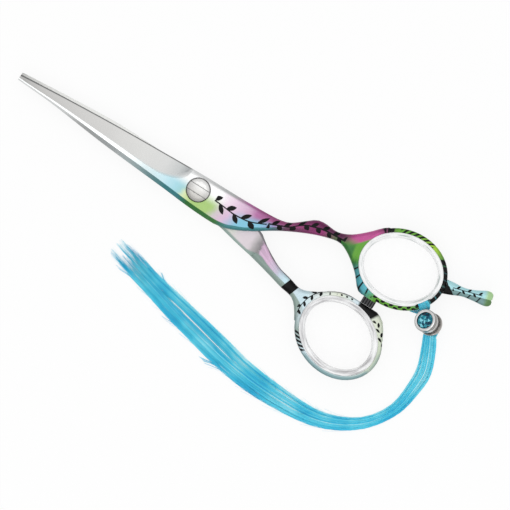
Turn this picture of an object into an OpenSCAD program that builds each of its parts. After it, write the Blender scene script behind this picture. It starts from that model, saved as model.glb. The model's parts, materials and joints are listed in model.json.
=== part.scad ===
// Thinning shears with ring inserts, finger rest, stop bumper and a hair-lock charm.
// Origin: on the pivot axis, on the surface that the shears lie on.
// +X runs from the pivot to the handles, +Y to the finger ring, +Z up out of the rings.

/* [Blades] */
// Pivot axis to the blade tip
blade_len = 62.8; // [52:0.1:75]
// Pivot axis to the cutting edge of the finger blade
edge_w = 4.6; // [4.3:0.1:5.4]
// Pivot axis to the spine of the finger blade
spine_w = 5.8; // [5.4:0.1:6.8]
// Width of a blade at its tip
tip_w = 1.7; // [1.3:0.1:2.4]
// Thickness of one half at the pivot
blade_t = 2.25; // [2:0.05:3]
// Thickness of one blade at its tip
tip_t = 0.9; // [0.7:0.05:1.4]
// Gap between the inner faces of the two halves
ride_gap = 0.1; // [0.06:0.02:0.2]
// Depth of the hollow ground into each inner face
hollow = 0.12; // [0.04:0.01:0.2]
// Width of the bevel along a spine at the pivot
spine_bevel = 1.3; // [0.8:0.1:1.8]
// Thickness left at a cutting edge
edge_t = 0.14; // [0.1:0.02:0.3]
// Pivot axis to the end of the ground facet on the finger blade
grind_end = 4.6; // [4.2:0.1:8]

/* [Thinning comb] */
// Number of slots
slot_count = 29; // [15:1:32]
// Distance from tooth to tooth
tooth_pitch = 1.55; // [1.2:0.05:1.6]
// Width of a slot
slot_w = 0.7; // [0.5:0.05:0.9]
// Pivot axis to the first slot
comb_start = 12.5; // [11:0.5:16]
// How far the spine of the comb shows past the cutting edge
comb_margin = 0.9; // [0.5:0.1:1.3]
// Depth of the notch in each tooth tip
notch_d = 0.22; // [0.1:0.02:0.3]

/* [Handles] */
// Thickness of a shank
shank_t = 3.5; // [3:0.1:4]
// Pivot axis to the round shoulder where a shank gets its full thickness
shoulder_r = 25.2; // [22:0.1:27]
// Pivot axis to the middle of the finger ring, along X
finger_x = 63.4; // [60:0.1:70]
// Pivot axis to the middle of the thumb ring, along X
thumb_x = 58.2; // [55:0.1:63]
// Half length of a ring at the outer edge of its insert
ring_a = 13; // [12:0.1:14]
// Half width of a ring at the outer edge of its insert
ring_b = 10.7; // [9.8:0.1:11.6]
// Turn of the finger ring in plan
finger_tilt = 10; // [0:1:15]
// Turn of the thumb ring in plan
thumb_tilt = -15; // [-20:1:0]
// Width of the steel band that shows outside an insert
band_w = 1.25; // [1:0.05:1.8]
// Thickness of a steel ring
band_t = 3.1; // [2.8:0.1:3.4]

/* [Ring inserts] */
// Width of the finger ring insert
finger_insert_w = 1.7; // [1.4:0.1:2.4]
// Width of the thumb ring insert
thumb_insert_w = 1.95; // [1.4:0.1:2.4]
// How far the flanges of an insert lap over the steel
lap = 0.8; // [0.5:0.05:1]
// Thickness of the steel tongue between the flanges
tongue_t = 2.4; // [2:0.1:2.6]
// Thickness of an insert
insert_t = 3.5; // [3.2:0.1:3.8]
// Clearance between an insert and the steel
insert_gap = 0.05; // [0.02:0.01:0.1]

/* [Pivot] */
// Diameter of the screw head
head_d = 7.2; // [6.6:0.1:7.6]
// Thickness of the screw head
head_t = 1.15; // [1:0.05:1.4]
// Width of the coin slot
coin_w = 2.2; // [1.6:0.1:2.6]
// Depth of the coin slot
coin_d = 0.6; // [0.4:0.05:0.7]
// Diameter of the screw shank
screw_d = 3.6; // [3:0.1:3.8]
// Running clearance on the radius of the screw shank
run_gap = 0.05; // [0.02:0.01:0.09]
// Depth of the counterbore for the screw head
counterbore_d = 1; // [0.8:0.05:1.1]
// Clearance round the screw head
head_gap = 0.15; // [0.1:0.05:0.3]
// Thickness of the slip washer
washer_t = 0.25; // [0.2:0.05:0.35]
// Outside diameter of the bush and of the nut body
bush_d = 5; // [4.8:0.1:5.6]
// Diameter of the bearing disc
disc_d = 8.6; // [7:0.1:9]
// Depth of the seat for the bearing disc in each half
disc_seat = 0.2; // [0.15:0.05:0.3]
// Diameter of the nut flange
flange_d = 8.2; // [7:0.1:9]
// Thickness of the nut flange
flange_t = 0.65; // [0.5:0.05:0.9]
// Clearance between flat or pressed pieces
seat_gap = 0.02; // [0.01:0.01:0.04]

/* [Bumper and finger rest] */
// Middle of the finger ring back to the bumper, along X
bumper_back = 3; // [1:0.1:5]
// Width of the bumper
bumper_w = 4.1; // [3.4:0.1:4.6]
// Height of the bumper
bumper_h = 3; // [2.6:0.1:3.2]
// Length of the bumper between the rings
bumper_len = 2.05; // [1.5:0.05:3]
// Diameter of the bumper stem
stem_d = 1.6; // [1.2:0.1:1.8]
// Gap between the bumper and the thumb ring when closed
stop_gap = 0.05; // [0.03:0.01:0.1]
// Height of the pad on the finger ring that carries the bumper
pad_h = 0.45; // [0.3:0.05:0.8]
// Length of the finger rest
rest_len = 14.4; // [11:0.1:18]
// Turn of the finger rest away from the long axis of its ring
rest_turn = 6.5; // [0:0.5:10]
// Width of the finger rest at its root
rest_root_w = 4.4; // [3.4:0.1:4.8]
// Width of the finger rest at its waist
rest_waist_w = 2.7; // [2.2:0.1:3.2]
// Width of the finger rest near its end
rest_end_w = 4.6; // [3.8:0.1:5.2]
// Thickness of the finger rest
rest_t = 2.8; // [2.4:0.1:3]
// Diameter of the stud on the finger rest
stud_d = 1.8; // [1.4:0.1:2]

/* [Charm] */
// Place of the hair loop round the finger ring
loop_angle = -40; // [-46:1:-34]
// Width of the hair loop where it crosses the ring
loop_w = 3.4; // [2.6:0.1:4]
// Thickness of the hair in the loop
loop_t = 0.45; // [0.3:0.05:0.5]
// Clearance between the hair loop and the steel
loop_gap = 0.1; // [0.06:0.02:0.15]
// Outer edge of the ring to the point where the charm swings
neck_reach = 1.3; // [1:0.1:2]
// Swing point to the middle of the bead
bead_reach = 4.3; // [4.2:0.1:5]
// Lean of the bead from upright
bead_lean = 28; // [15:1:30]
// Diameter of the rear flange of the bead
bead_d = 7; // [6.2:0.1:7.2]
// Diameter of the bezel
bezel_d = 6.8; // [5.8:0.1:7]
// Diameter of the crystal
crystal_d = 4.8; // [4:0.1:5]
// Height of the bead body up to the bezel
body_h = 3.8; // [2.8:0.1:4.2]
// Height of the bezel
bezel_h = 2.3; // [2:0.1:2.6]
// Wall of the crimp sleeve
crimp_wall = 0.35; // [0.25:0.05:0.5]
// Length of the crimp sleeve
crimp_len = 4.4; // [3.6:0.1:5]

/* [Lock of hair] */
// Width of the lock inside the crimp
lock_root_w = 3.6; // [3:0.1:4]
// Width of the lock below the bead
lock_w = 4.8; // [4:0.1:5.4]
// Width of the lock in its bend
lock_waist_w = 3; // [2.6:0.1:4]
// Width of the lock where it spreads
lock_spread_w = 6.5; // [5.5:0.1:7.5]
// Thickness of the lock
lock_t = 0.9; // [0.7:0.05:0.95]
// Number of strands in the lock
strand_count = 11; // [7:1:13]
// Share of the lock's thickness left in the grooves between strands
groove_share = 0.5; // [0.3:0.05:0.8]
// Height of the lock above the surface
lock_lift = 0.1; // [0.05:0.05:0.2]
// How far the lock falls to the side of the bead
lock_drop = 42.8; // [38:0.1:50]

/* [Hidden] */
$fn = 64;

// Levels above the surface
nut_top = flange_t + seat_gap;
part_z = nut_top + blade_t + ride_gap / 2;
front_z = part_z + ride_gap / 2 + blade_t;
counterbore_z = front_z - counterbore_d;
head_z = counterbore_z + washer_t + seat_gap;
bore_r = bush_d / 2 + seat_gap;
end_gap = 0.2;

// Ground forms of the halves
crown = 0.01;
ride_step = ride_gap / 2 - crown;
round_bow = 0.414;
grind_round = 13;
grind_start = -grind_end - grind_round;
tip_bevel = 0.35;
tip_land = 0.35;
land_w = 1.2;
shank_round = 1.1;
shank_side = 1;
root_cover = 0.5;
ride_end = 9;
ring_start = 0.2;

// Rings: the bumper sets how far apart they stand
half_shank = shank_t / 2;
bumper_x = finger_x - bumper_back;
band_step = 0.1;
band_inner = -lap - 0.3;
finger_half_h = norm([(ring_a + band_w) * sin(finger_tilt), (ring_b + band_w) * cos(finger_tilt)]);
thumb_half_h = norm([(ring_a + band_w) * sin(thumb_tilt), (ring_b + band_w) * cos(thumb_tilt)]);
stop_y = -0.25;
thumb_seat_y = stop_y - bumper_len - stop_gap;
thumb_flat = 0.12;
finger_y = stop_y + pad_h + finger_half_h;
thumb_y = thumb_seat_y + thumb_flat - thumb_half_h;
ring_steps = 52;
stem_grip = 0.6 * lap;
stem_len = pad_h + band_w + stem_grip;
stud_len = band_w + stem_grip;

// Charm: where it hangs on the finger ring
function ellipse_at(a, b, t) = [a * cos(t), b * sin(t)];
function ellipse_normal(a, b, t) = [b * cos(t), a * sin(t)] / norm([b * cos(t), a * sin(t)]);
function turned(p, angle) = [p.x * cos(angle) - p.y * sin(angle), p.x * sin(angle) + p.y * cos(angle)];
loop_out = turned(ellipse_normal(ring_a, ring_b, loop_angle), finger_tilt);
loop_dir = atan2(loop_out.y, loop_out.x);
loop_at = [finger_x, finger_y] + turned(ellipse_at(ring_a, ring_b, loop_angle), finger_tilt);
neck_r = band_w + neck_reach;
neck = loop_at + neck_r * loop_out;
bead_at = neck + bead_reach * loop_out;
crimp_room = 0.1;
crimp_h = lock_t + crimp_room + 2 * crimp_wall;
crimp_w = lock_root_w + crimp_room + 2 * crimp_wall;
crimp_skew = 26;
crimp_turn = loop_dir - crimp_skew;
crimp_drop = (abs(crimp_w * sin(crimp_turn)) + abs(crimp_len * cos(crimp_turn))) / 2 * sin(bead_lean);
bead_clear = 0.1;
bead_z = lock_lift + bead_clear + crimp_drop + crimp_h * cos(bead_lean);
loop_half = band_t / 2 + loop_gap + loop_t;
loop_inside = lap + loop_gap + loop_t;
loop_relief = loop_w / 2 / ring_b * 180 / PI + 360 / ring_steps;
neck_t = 1;
neck_z = part_z - loop_half + neck_t / 2;
lock_gap = 1.2;

// Smooth step from 0 to 1 between a and b
function ease(a, b, x) = let (t = min(1, max(0, (x - a) / (b - a)))) t * t * (3 - 2 * t);
function mix(a, b, t) = a + (b - a) * t;
function spread(a, b, n) = [for (i = [0 : n - 1]) mix(a, b, i / n)];

// Smooth curve y(x) through a list of points
function span(p, x, i = 0) = i >= len(p) - 2 || x < p[i + 1].x ? i : span(p, x, i + 1);
function slope(p, i) =
  let (a = max(0, i - 1), b = min(len(p) - 1, i + 1)) (p[b].y - p[a].y) / (p[b].x - p[a].x);
function through(p, x) =
  let (
    i = span(p, x),
    h = p[i + 1].x - p[i].x,
    t = (x - p[i].x) / h,
    rise = ease(0, 1, t)
  )
  mix(p[i].y, p[i + 1].y, rise) + h * t * (1 - t) * ((1 - t) * slope(p, i) - t * slope(p, i + 1));

// Plan outlines of the finger half
finger_upper = [
  [-blade_len, tip_w / 2], [-0.8 * blade_len, 0.42 * edge_w], [-0.5 * blade_len, 0.7 * edge_w],
  [-0.15 * blade_len, 0.92 * edge_w], [0, edge_w], [finger_x - 51, edge_w + 0.15],
  [finger_x - 43, 5.05], [finger_x - 38.2, finger_y - 6.75], [finger_x - 35.2, finger_y - 5.85],
  [finger_x - 32, finger_y - 3.4], [finger_x - 29, finger_y - 1], [finger_x - 26.4, finger_y - 0.45],
  [finger_x - 22.8, finger_y - 0.7], [finger_x - 20.6, finger_y - 0.35],
  [finger_x - ring_a - 4.4, finger_y + 1.3], [finger_x - ring_a - 0.6, finger_y + 0.44 * ring_b],
  [finger_x - ring_a + 2.6, finger_y + 0.75 * ring_b], [finger_x - ring_a + 5, finger_y + 0.8 * ring_b],
  [finger_x - ring_a + 9, finger_y], [finger_x - ring_start, finger_y - 2]
];
finger_lower = [
  [-blade_len, -tip_w / 2], [-0.8 * blade_len, -0.27 * spine_w], [-0.5 * blade_len, -0.6 * spine_w],
  [-0.15 * blade_len, -0.87 * spine_w], [0, -spine_w], [7.2, -spine_w - 0.25],
  [10.6, -spine_w - 0.05], [14.2, -spine_w + 1], [19.5, -2.1], [finger_x - 36.4, finger_y - 9.5],
  [finger_x - 28.4, finger_y - 5.5], [finger_x - 22.7, finger_y - 3.5], [finger_x - 19.6, finger_y - 3],
  [finger_x - 17.5, finger_y - 3.6], [finger_x - ring_a - 1.5, finger_y - 0.5 * ring_b],
  [finger_x - ring_a + 1.9, finger_y - 0.76 * ring_b],
  [finger_x - ring_a + 5.1, stop_y + 0.7], [finger_x - ring_a + 6.2, stop_y + 0.1],
  [finger_x - ring_a + 8, stop_y + 0.02], [finger_x - 2.9, stop_y + 0.25], [finger_x - 1, stop_y + 1.5],
  [finger_x - ring_start, stop_y + 3]
];

// Plan outlines of the thumb half
comb_upper = [
  for (s = [1, 0.9, 0.8, 0.7, 0.6, 0.5, 0.4, 0.3, 0.2, 0.1])
    let (x = -s * blade_len)
      [x, through(finger_upper, x) + comb_margin * (1 - ease(-0.52 * blade_len, -0.2 * blade_len, x)) - 0.1]
];
thumb_upper = concat(comb_upper, [
  [0, edge_w - 0.3], [10, edge_w - 1.5], [thumb_x - 35.9, thumb_y + 13.9],
  [thumb_x - 32.3, thumb_y + 11.4], [thumb_x - 27.7, thumb_y + 8.8], [thumb_x - 25.2, thumb_y + 7.7],
  [thumb_x - 21.2, thumb_y + 6.8], [thumb_x - ring_a - 4, thumb_y + 5.8],
  [thumb_x - ring_a - 0.9, thumb_y + 6.8], [thumb_x - ring_a + 4, thumb_y + 0.91 * ring_b],
  [thumb_x - ring_a + 7.7, thumb_seat_y - 0.35], [thumb_x - 0.5, thumb_seat_y - 0.05],
  [thumb_x + 5.8, thumb_seat_y + 0.05], [thumb_x + 8.7, thumb_seat_y - 1.3],
  [thumb_x + 10.2, thumb_seat_y - 3.1], [thumb_x + 12, thumb_seat_y - 6.3]
]);
comb_lower = [
  for (s = [1, 0.9, 0.7, 0.5, 0.35, 0.2])
    let (x = -s * blade_len) [x, through(finger_lower, x) + mix(0.6, 1.1, ease(-blade_len, -20, x))]
];
thumb_lower = concat(comb_lower, [
  [0, -spine_w + 0.7], [10.6, -spine_w + 0.05], [thumb_x - 41.4, thumb_y + 7.3],
  [thumb_x - 34.8, thumb_y + 6.1], [thumb_x - 26.6, thumb_y + 4.2], [thumb_x - 22.4, thumb_y + 3.1],
  [thumb_x - ring_a - 5.4, thumb_y + 2.4], [thumb_x - ring_a - 3.7, thumb_y + 1.3],
  [thumb_x - ring_a - 2.1, thumb_y - 0.6], [thumb_x - ring_a - 0.4, thumb_y - 3.2],
  [thumb_x - ring_a + 2.4, thumb_y - 3], [thumb_x - ring_a + 7, thumb_y], [thumb_x + 8, thumb_y],
  [thumb_x + 12, thumb_y + 3.6]
]);

// Route of the lock, from the swing point through the crimp and along the surface.
// Each step is a length along X, a share of the drop and a rise.
crimp_dir = let (d = turned([1, 0], crimp_turn)) [d.x * cos(bead_lean), d.y, d.x * sin(bead_lean)];
bead_axis = [-sin(bead_lean), 0, cos(bead_lean)];
crimp_at = [bead_at.x, bead_at.y, bead_z] - bead_axis * crimp_h / 2;
lock_z = lock_lift + lock_t / 2;
lock_start = [neck.x + lock_gap * loop_out.x, neck.y + lock_gap * loop_out.y, neck_z];
lock_steps = [
  [2.6, 0.159, 0.9], [5, 0.297, 0.05], [5.6, 0.425, 0], [4.1, 0.64, 0], [-2.2, 0.843, 0],
  [-12.9, 0.972, 0], [-25.9, 1, 0], [-39.9, 0.984, 0], [-55.5, 0.911, 0], [-71.8, 0.827, 0],
  [-80.5, 0.776, 0], [-92.5, 0.696, 0]
];
lock_route = concat(
  [lock_start],
  [for (s = [-0.5, 0, 0.5, 0.75]) crimp_at + s * crimp_len * crimp_dir],
  [for (p = lock_steps) [bead_at.x + p.x, bead_at.y - p.y * lock_drop, lock_z + p.z]]
);
route_end = len(lock_route) - 1;
root_end = 4;
root_share = 0.92;
notch_start = route_end - 1.9;
notch_share = 0.35;
tip_half_t = 0.05;
parting_w = 0.7;
parting = [12, 12.7, 13.4, 14.2];
waist = [6, 8.3];
spreading = [8.4, 12];
columns = 2 * strand_count;
edge_share = 0.8;

// Joins lofted skins into one closed skin
module one_skin() {
  resize([0, 0, 0]) children();
}

// Skin of triangles through rows of points, closed by end caps or into a ring.
// Caps are flat faces, or strips that join the first half of a row to its second half.
module skin(rows, ring = false, strip = false) {
  n = len(rows);
  m = len(rows[0]);
  points = [for (row = rows) each row];
  walls = [
    for (i = [0 : n - (ring ? 1 : 2)], j = [0 : m - 1])
      let (
        k = (i + 1) % n,
        l = (j + 1) % m
      )
      each [[i * m + j, i * m + l, k * m + l], [i * m + j, k * m + l, k * m + j]]
  ];
  face = strip
    ? [for (j = [0 : m / 2 - 2]) each [[j, j + 1, m - 2 - j], [j, m - 2 - j, m - 1 - j]]]
    : [[for (j = [0 : m - 1]) j]];
  first_cap = [for (f = face) [for (j = [len(f) - 1 : -1 : 0]) f[j]]];
  last_cap = [for (f = face) [for (j = f) (n - 1) * m + j]];
  polyhedron(points, ring ? walls : concat(walls, first_cap, last_cap), convexity = 10);
}

// One eased corner of a section: width, height and roundness
function corner(y, z, toward_y, toward_z, c, side_first) =
  let (
    flat = [y + toward_y * c[0], z],
    side = [y, z + toward_z * c[1]],
    middle = (flat + side) / 2,
    bow = middle + ([y, z] - middle) * c[2]
  )
  side_first ? [side, bow, flat] : [flat, bow, side];

// Section across a half at x: sides, levels, four corners and the hollow of one face
function half_section(x, low, high, bottom, top, c, dip_bottom, dip_top) =
  let (
    mid_top = (low + c[1].x + high - c[2].x) / 2,
    mid_bottom = (low + c[0].x + high - c[3].x) / 2,
    flat = concat(
      corner(low, bottom, 1, 1, c[0], false),
      corner(low, top, 1, -1, c[1], true),
      [[mid_top, top - dip_top]],
      corner(high, top, -1, -1, c[2], false),
      corner(high, bottom, -1, 1, c[3], true),
      [[mid_bottom, bottom + dip_bottom]]
    )
  )
  [for (p = flat) [x, p.x, part_z + p.y]];

function blade_thick(x) = mix(tip_t, blade_t, ease(-1.25 * blade_len, -8, x));
function handle_level(x) = mix(blade_t + ride_gap / 2, half_shank, ease(ride_end - 1, shoulder_r + 2.8, x));
function near_ring(x, ring_x) = ease(ring_x - ring_a - 9, ring_x - ring_a + 1, x);
function ground(x) = x < grind_start ? 1 : x > -grind_end ? 0 :
  sqrt(1 - pow((x - grind_start) / (-grind_end - grind_start), 2));
function hollowed(x) = 1 - ease(-comb_start - 7.5, -comb_start + 4.5, x);
function inner_level(x) = mix(ride_gap / 2, -half_shank, ease(ride_end, shoulder_r - 4.2, x));

blade_stations = concat(
  spread(-blade_len, -0.94 * blade_len, 3),
  spread(-0.94 * blade_len, grind_start, 11),
  [for (i = [0 : 8]) grind_start + grind_round * sin(10 * i)],
  spread(-grind_end, ride_end, 6)
);

function finger_section(x) =
  let (
    low = through(finger_lower, x),
    high = through(finger_upper, x),
    w = high - low,
    thick = blade_thick(x),
    settle = near_ring(x, finger_x),
    slim = (band_t / 2 - band_step - half_shank) * settle,
    top = x < 0 ? ride_gap / 2 + thick : handle_level(x) + slim,
    bottom = inner_level(x) - slim,
    bevel = min(mix(tip_bevel, spine_bevel, ease(-blade_len, -0.4 * blade_len, x)), 0.3 * w),
    shank = ease(ride_end, shoulder_r - 1.2, x),
    land = mix(tip_land, land_w, ease(-blade_len, -comb_start, x)),
    facet = ground(x),
    edge_bevel = min(spine_bevel, 0.3 * w),
    grind = max(0.1, w - bevel - min(land, 0.25 * w)),
    under = mix(2 * crown, min(shank_round, 0.28 * w), shank),
    under_side = mix(2 * crown, shank_side, shank)
  )
  half_section(
    x, low, high, bottom, top,
    [
      [under, under_side, round_bow],
      [bevel, 0.55 * thick, mix(0, round_bow, ease(0, 20, x))],
      [mix(edge_bevel, grind, facet), mix(0.5 * thick, thick - edge_t, facet), mix(0.2, -0.06, facet)],
      [under, under_side, round_bow]
    ],
    2 * crown + hollow * hollowed(x), -crown
  );

function thumb_section(x) =
  let (
    low = through(thumb_lower, x),
    high = through(thumb_upper, x),
    w = high - low,
    thick = blade_thick(x),
    settle = near_ring(x, thumb_x),
    slim = (band_t / 2 - band_step - half_shank) * settle,
    bottom = x < 0 ? -ride_gap / 2 - thick : -handle_level(x) - slim,
    top = -inner_level(x) + slim,
    shank = ease(ride_end, shoulder_r - 1.2, x),
    comb = 1 - ease(-comb_start, -6, x),
    bevel = min(0.9, 0.28 * w),
    over = mix(2 * crown, min(shank_round, 0.28 * w), shank),
    over_side = mix(2 * crown, shank_side, shank)
  )
  half_section(
    x, low, high, bottom, top,
    [
      [mix(bevel, 0.62 * w, comb), mix(0.5 * thick, 0.6 * thick, comb), mix(round_bow, 0, comb)],
      [over, over_side, round_bow],
      [over, over_side, round_bow],
      [bevel, 0.5 * thick, 0.2]
    ],
    -crown, 2 * crown + hollow * hollowed(x)
  );

// A section (outward, up) set at one place on an ellipse
function ellipse_row(section, t) =
  let (
    p = ellipse_at(ring_a, ring_b, t),
    out = ellipse_normal(ring_a, ring_b, t)
  )
  [for (s = section) [p.x + out.x * s.x, p.y + out.y * s.x, s.y]];

// Sweep of a section round an ellipse
module ellipse_sweep(section) {
  skin([for (i = [0 : ring_steps - 1]) ellipse_row(section, 360 * i / ring_steps)], true);
}

// Prism whose outline lies at a set distance outside an ellipse
module ellipse_prism(out_by, height) {
  outline = [
    for (i = [0 : ring_steps - 1])
      let (t = 360 * i / ring_steps)
        ellipse_at(ring_a, ring_b, t) + out_by * ellipse_normal(ring_a, ring_b, t)
  ];
  linear_extrude(height, center = true) polygon(outline);
}

module at_finger_ring() {
  translate([finger_x, finger_y, part_z]) rotate(finger_tilt) children();
}

module at_thumb_ring() {
  translate([thumb_x, thumb_y, part_z]) rotate(thumb_tilt) children();
}

// Steel band of a ring, with a rounded outside
module ring_band() {
  h = band_t / 2;
  section = [
    [band_inner, -h], [0.55 * band_w, -h], [0.9 * band_w, -0.72 * h], [band_w, 0],
    [0.9 * band_w, 0.72 * h], [0.55 * band_w, h], [band_inner, h]
  ];
  ellipse_sweep(section);
}

// Hole through a ring, stepped for the flanges of its insert
module ring_hole() {
  tall = 4 * shank_t;
  ellipse_prism(-lap, tall);
  for (side = [-1, 1])
    translate([0, 0, side * (tongue_t / 2 + tall / 2)]) ellipse_prism(0, tall);
}

// Section of the soft channel that lines a ring, drawn in to a share of its width
function insert_section(width, share) =
  let (
    h = insert_t / 2,
    step = tongue_t / 2 + insert_gap,
    web = -lap - insert_gap,
    lip = 0.4,
    swell = 0.1,
    full = [
      [web, -step], [-insert_gap, -step], [-insert_gap, -0.86 * h], [-lip, -h],
      [-width + lip + swell, -h], [-width + swell, -0.62 * h], [-width, 0],
      [-width + swell, 0.62 * h], [-width + lip + swell, h], [-lip, h],
      [-insert_gap, 0.86 * h], [-insert_gap, step], [web, step]
    ]
  )
  [for (p = full) [-width + (p.x + width) * share, p.y]];

// Soft channel that lines a ring, thinned over the arc where hair passes behind it
module ring_insert(width, relief_angle = 0, relief_arc = 0) {
  behind_hair = (width - loop_inside - insert_gap) / (width - insert_gap);
  rows = [
    for (i = [0 : ring_steps - 1])
      let (
        t = 360 * i / ring_steps,
        turn = abs((t - relief_angle + 540) % 360 - 180),
        share = turn < relief_arc ? behind_hair : 1
      )
      ellipse_row(insert_section(width, share), t)
  ];
  skin(rows, true);
}

// Rounded bar with its length along Y
module bar(width, height, length) {
  rotate([90, 0, 0])
    linear_extrude(length) {
      square([width - height, height], center = true);
      for (side = [-1, 1]) translate([side * (width - height) / 2, 0]) circle(d = height);
    }
}

// Sector about the pivot in which the halves pass over each other
module shoulder_cut() {
  intersection() {
    cylinder(r = shoulder_r, h = 2 * shank_t, $fn = 120);
    translate([ride_end - 1, -shoulder_r, -1]) cube([shoulder_r, 2 * shoulder_r, 2 * shank_t + 2]);
  }
}

// Bores of the pivot in the finger half
module finger_pivot_bores() {
  translate([0, 0, part_z - shank_t]) cylinder(r = bore_r, h = 4 * shank_t);
  translate([0, 0, counterbore_z]) cylinder(d = head_d + 2 * head_gap, h = 2 * shank_t);
  translate([0, 0, part_z + ride_gap / 2 - shank_t])
    cylinder(d = disc_d + 2 * seat_gap, h = shank_t + disc_seat);
}

module stud_axis() {
  at_finger_ring() translate([ring_a + band_w, 0, 0]) rotate(rest_turn) rotate([0, 90, 0]) children();
}

// Finger half: plain blade, shank and finger ring
module finger_blade() {
  stations = concat(
    blade_stations,
    spread(ride_end, shoulder_r - 2, 5),
    spread(shoulder_r - 2, finger_x - ring_a - 6, 16),
    spread(finger_x - ring_a - 6, finger_x - ring_start, 16),
    [finger_x - ring_start]
  );
  color("gainsboro")
    difference() {
      one_skin()
        difference() {
          union() {
            skin([for (x = stations) finger_section(x)]);
            at_finger_ring() ring_band();
            translate([bumper_x, stop_y + pad_h + 1, part_z]) bar(bumper_w, bumper_h, pad_h + 1, $fn = 24);
          }
          at_finger_ring() ring_hole();
          translate([0, 0, part_z + ride_step - 2 * shank_t]) shoulder_cut();
        }
      finger_pivot_bores();
      translate([bumper_x, stop_y + stem_len + 1, part_z])
        rotate([90, 0, 0]) cylinder(d = stem_d + 2 * seat_gap, h = stem_len + 2);
      stud_axis() translate([0, 0, -stud_len]) cylinder(d = stud_d + 2 * seat_gap, h = stud_len + 2);
    }
}

// Outline of one slot with a round root
module slot_outline(depth) {
  r = slot_w / 2;
  polygon(concat([[-r, -depth], [r, -depth]], [for (a = [0 : 30 : 180]) r * [cos(a), sin(a)]]));
}

// Slots and tip notches of the thinning comb
module comb_cuts() {
  for (i = [0 : slot_count - 1]) {
    x = -comb_start - i * tooth_pitch;
    root = through(finger_upper, x) - root_cover - slot_w / 2;
    tip = through(thumb_lower, x);
    tooth_x = x + tooth_pitch / 2;
    translate([x, root, 0]) linear_extrude(2 * part_z) slot_outline(root - tip + slot_w);
    translate([tooth_x, through(thumb_lower, tooth_x), 0])
      rotate(45) cube([2 * notch_d, 2 * notch_d, 4 * part_z], center = true);
  }
}

// Thumb half: comb blade, shank and thumb ring
module thumb_blade() {
  stations = concat(
    blade_stations,
    spread(ride_end, shoulder_r - 2, 5),
    spread(shoulder_r - 2, thumb_x - ring_a - 7, 10),
    spread(thumb_x - ring_a - 7, thumb_x - 3, 16),
    spread(thumb_x - 3, thumb_x + 12, 10),
    [thumb_x + 12]
  );
  color("lightsteelblue")
    difference() {
      one_skin()
        difference() {
          union() {
            skin([for (x = stations) thumb_section(x)]);
            at_thumb_ring() ring_band();
          }
          at_thumb_ring() ring_hole();
          comb_cuts();
          translate([bumper_x - ring_a, thumb_seat_y, 0]) cube([2 * ring_a, ring_b, 4 * shank_t]);
          translate([0, 0, part_z - ride_step]) shoulder_cut();
        }
      cylinder(r = bore_r, h = 2 * part_z);
      translate([0, 0, part_z - ride_gap / 2 - disc_seat])
        cylinder(d = disc_d + 2 * seat_gap, h = 2 * shank_t);
    }
}

// Slotted pivot screw
module pivot_screw() {
  shank_z = flange_t + end_gap;
  r = head_d / 2;
  edge = 0.25;
  color("silver")
    difference() {
      union() {
        translate([0, 0, shank_z]) cylinder(d = screw_d, h = head_z - shank_z + edge);
        translate([0, 0, head_z])
          rotate_extrude()
            polygon([[0, 0], [r, 0], [r, head_t - edge], [r - edge, head_t], [0, head_t]]);
      }
      translate([-head_d, -coin_w / 2, head_z + head_t - coin_d]) cube([2 * head_d, coin_w, 2 * coin_d]);
    }
}

module washer(outer, inner, thickness) {
  difference() {
    cylinder(d = outer, h = thickness);
    translate([0, 0, -1]) cylinder(d = inner, h = thickness + 2);
  }
}

// Slip washer under the screw head
module slip_washer() {
  color("white")
    translate([0, 0, counterbore_z]) washer(head_d - 0.2, screw_d + 4 * run_gap, washer_t);
}

// Bush in the finger half that the screw runs in
module pivot_bush() {
  bottom = part_z + ride_gap / 2 + disc_seat + seat_gap;
  color("goldenrod")
    translate([0, 0, bottom]) washer(bush_d, screw_d + 2 * run_gap, counterbore_z - bottom - seat_gap);
}

// Bearing disc between the halves
module bearing_disc() {
  thickness = 2 * disc_seat + ride_gap - 2 * seat_gap;
  color("ivory")
    translate([0, 0, part_z - thickness / 2]) washer(disc_d, screw_d + 4 * run_gap, thickness);
}

// Flanged nut in the thumb half
module pivot_nut() {
  top = part_z - ride_gap / 2 - disc_seat - seat_gap;
  edge = 0.2;
  color("silver")
    difference() {
      rotate_extrude()
        polygon([
          [0, 0], [flange_d / 2 - edge, 0], [flange_d / 2, edge], [flange_d / 2, flange_t],
          [bush_d / 2, flange_t], [bush_d / 2, top], [0, top]
        ]);
      translate([0, 0, flange_t]) cylinder(r = screw_d / 2 + run_gap, h = part_z);
    }
}

// Clear insert of the finger ring, relieved where the hair loop passes
module finger_ring_insert() {
  color("whitesmoke", 0.6) at_finger_ring() ring_insert(finger_insert_w, loop_angle, loop_relief);
}

// Clear insert of the thumb ring
module thumb_ring_insert() {
  color("whitesmoke", 0.6) at_thumb_ring() ring_insert(thumb_insert_w);
}

// Ribbed rubber bumper on the finger ring
module stop_bumper() {
  rib = 0.16;
  rib_pitch = 0.55;
  color("dimgray")
    translate([bumper_x, stop_y - seat_gap, part_z]) {
      difference() {
        bar(bumper_w, bumper_h, bumper_len - seat_gap);
        for (x = [-1.5 * rib_pitch : rib_pitch : 1.6 * rib_pitch], side = [-1, 1])
          translate([x, 1, side * bumper_h / 2]) rotate([90, 0, 0]) cylinder(r = rib, h = bumper_len + 2);
      }
      translate([0, stem_len, 0]) rotate([90, 0, 0]) cylinder(d = stem_d, h = stem_len + 0.5);
    }
}

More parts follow.
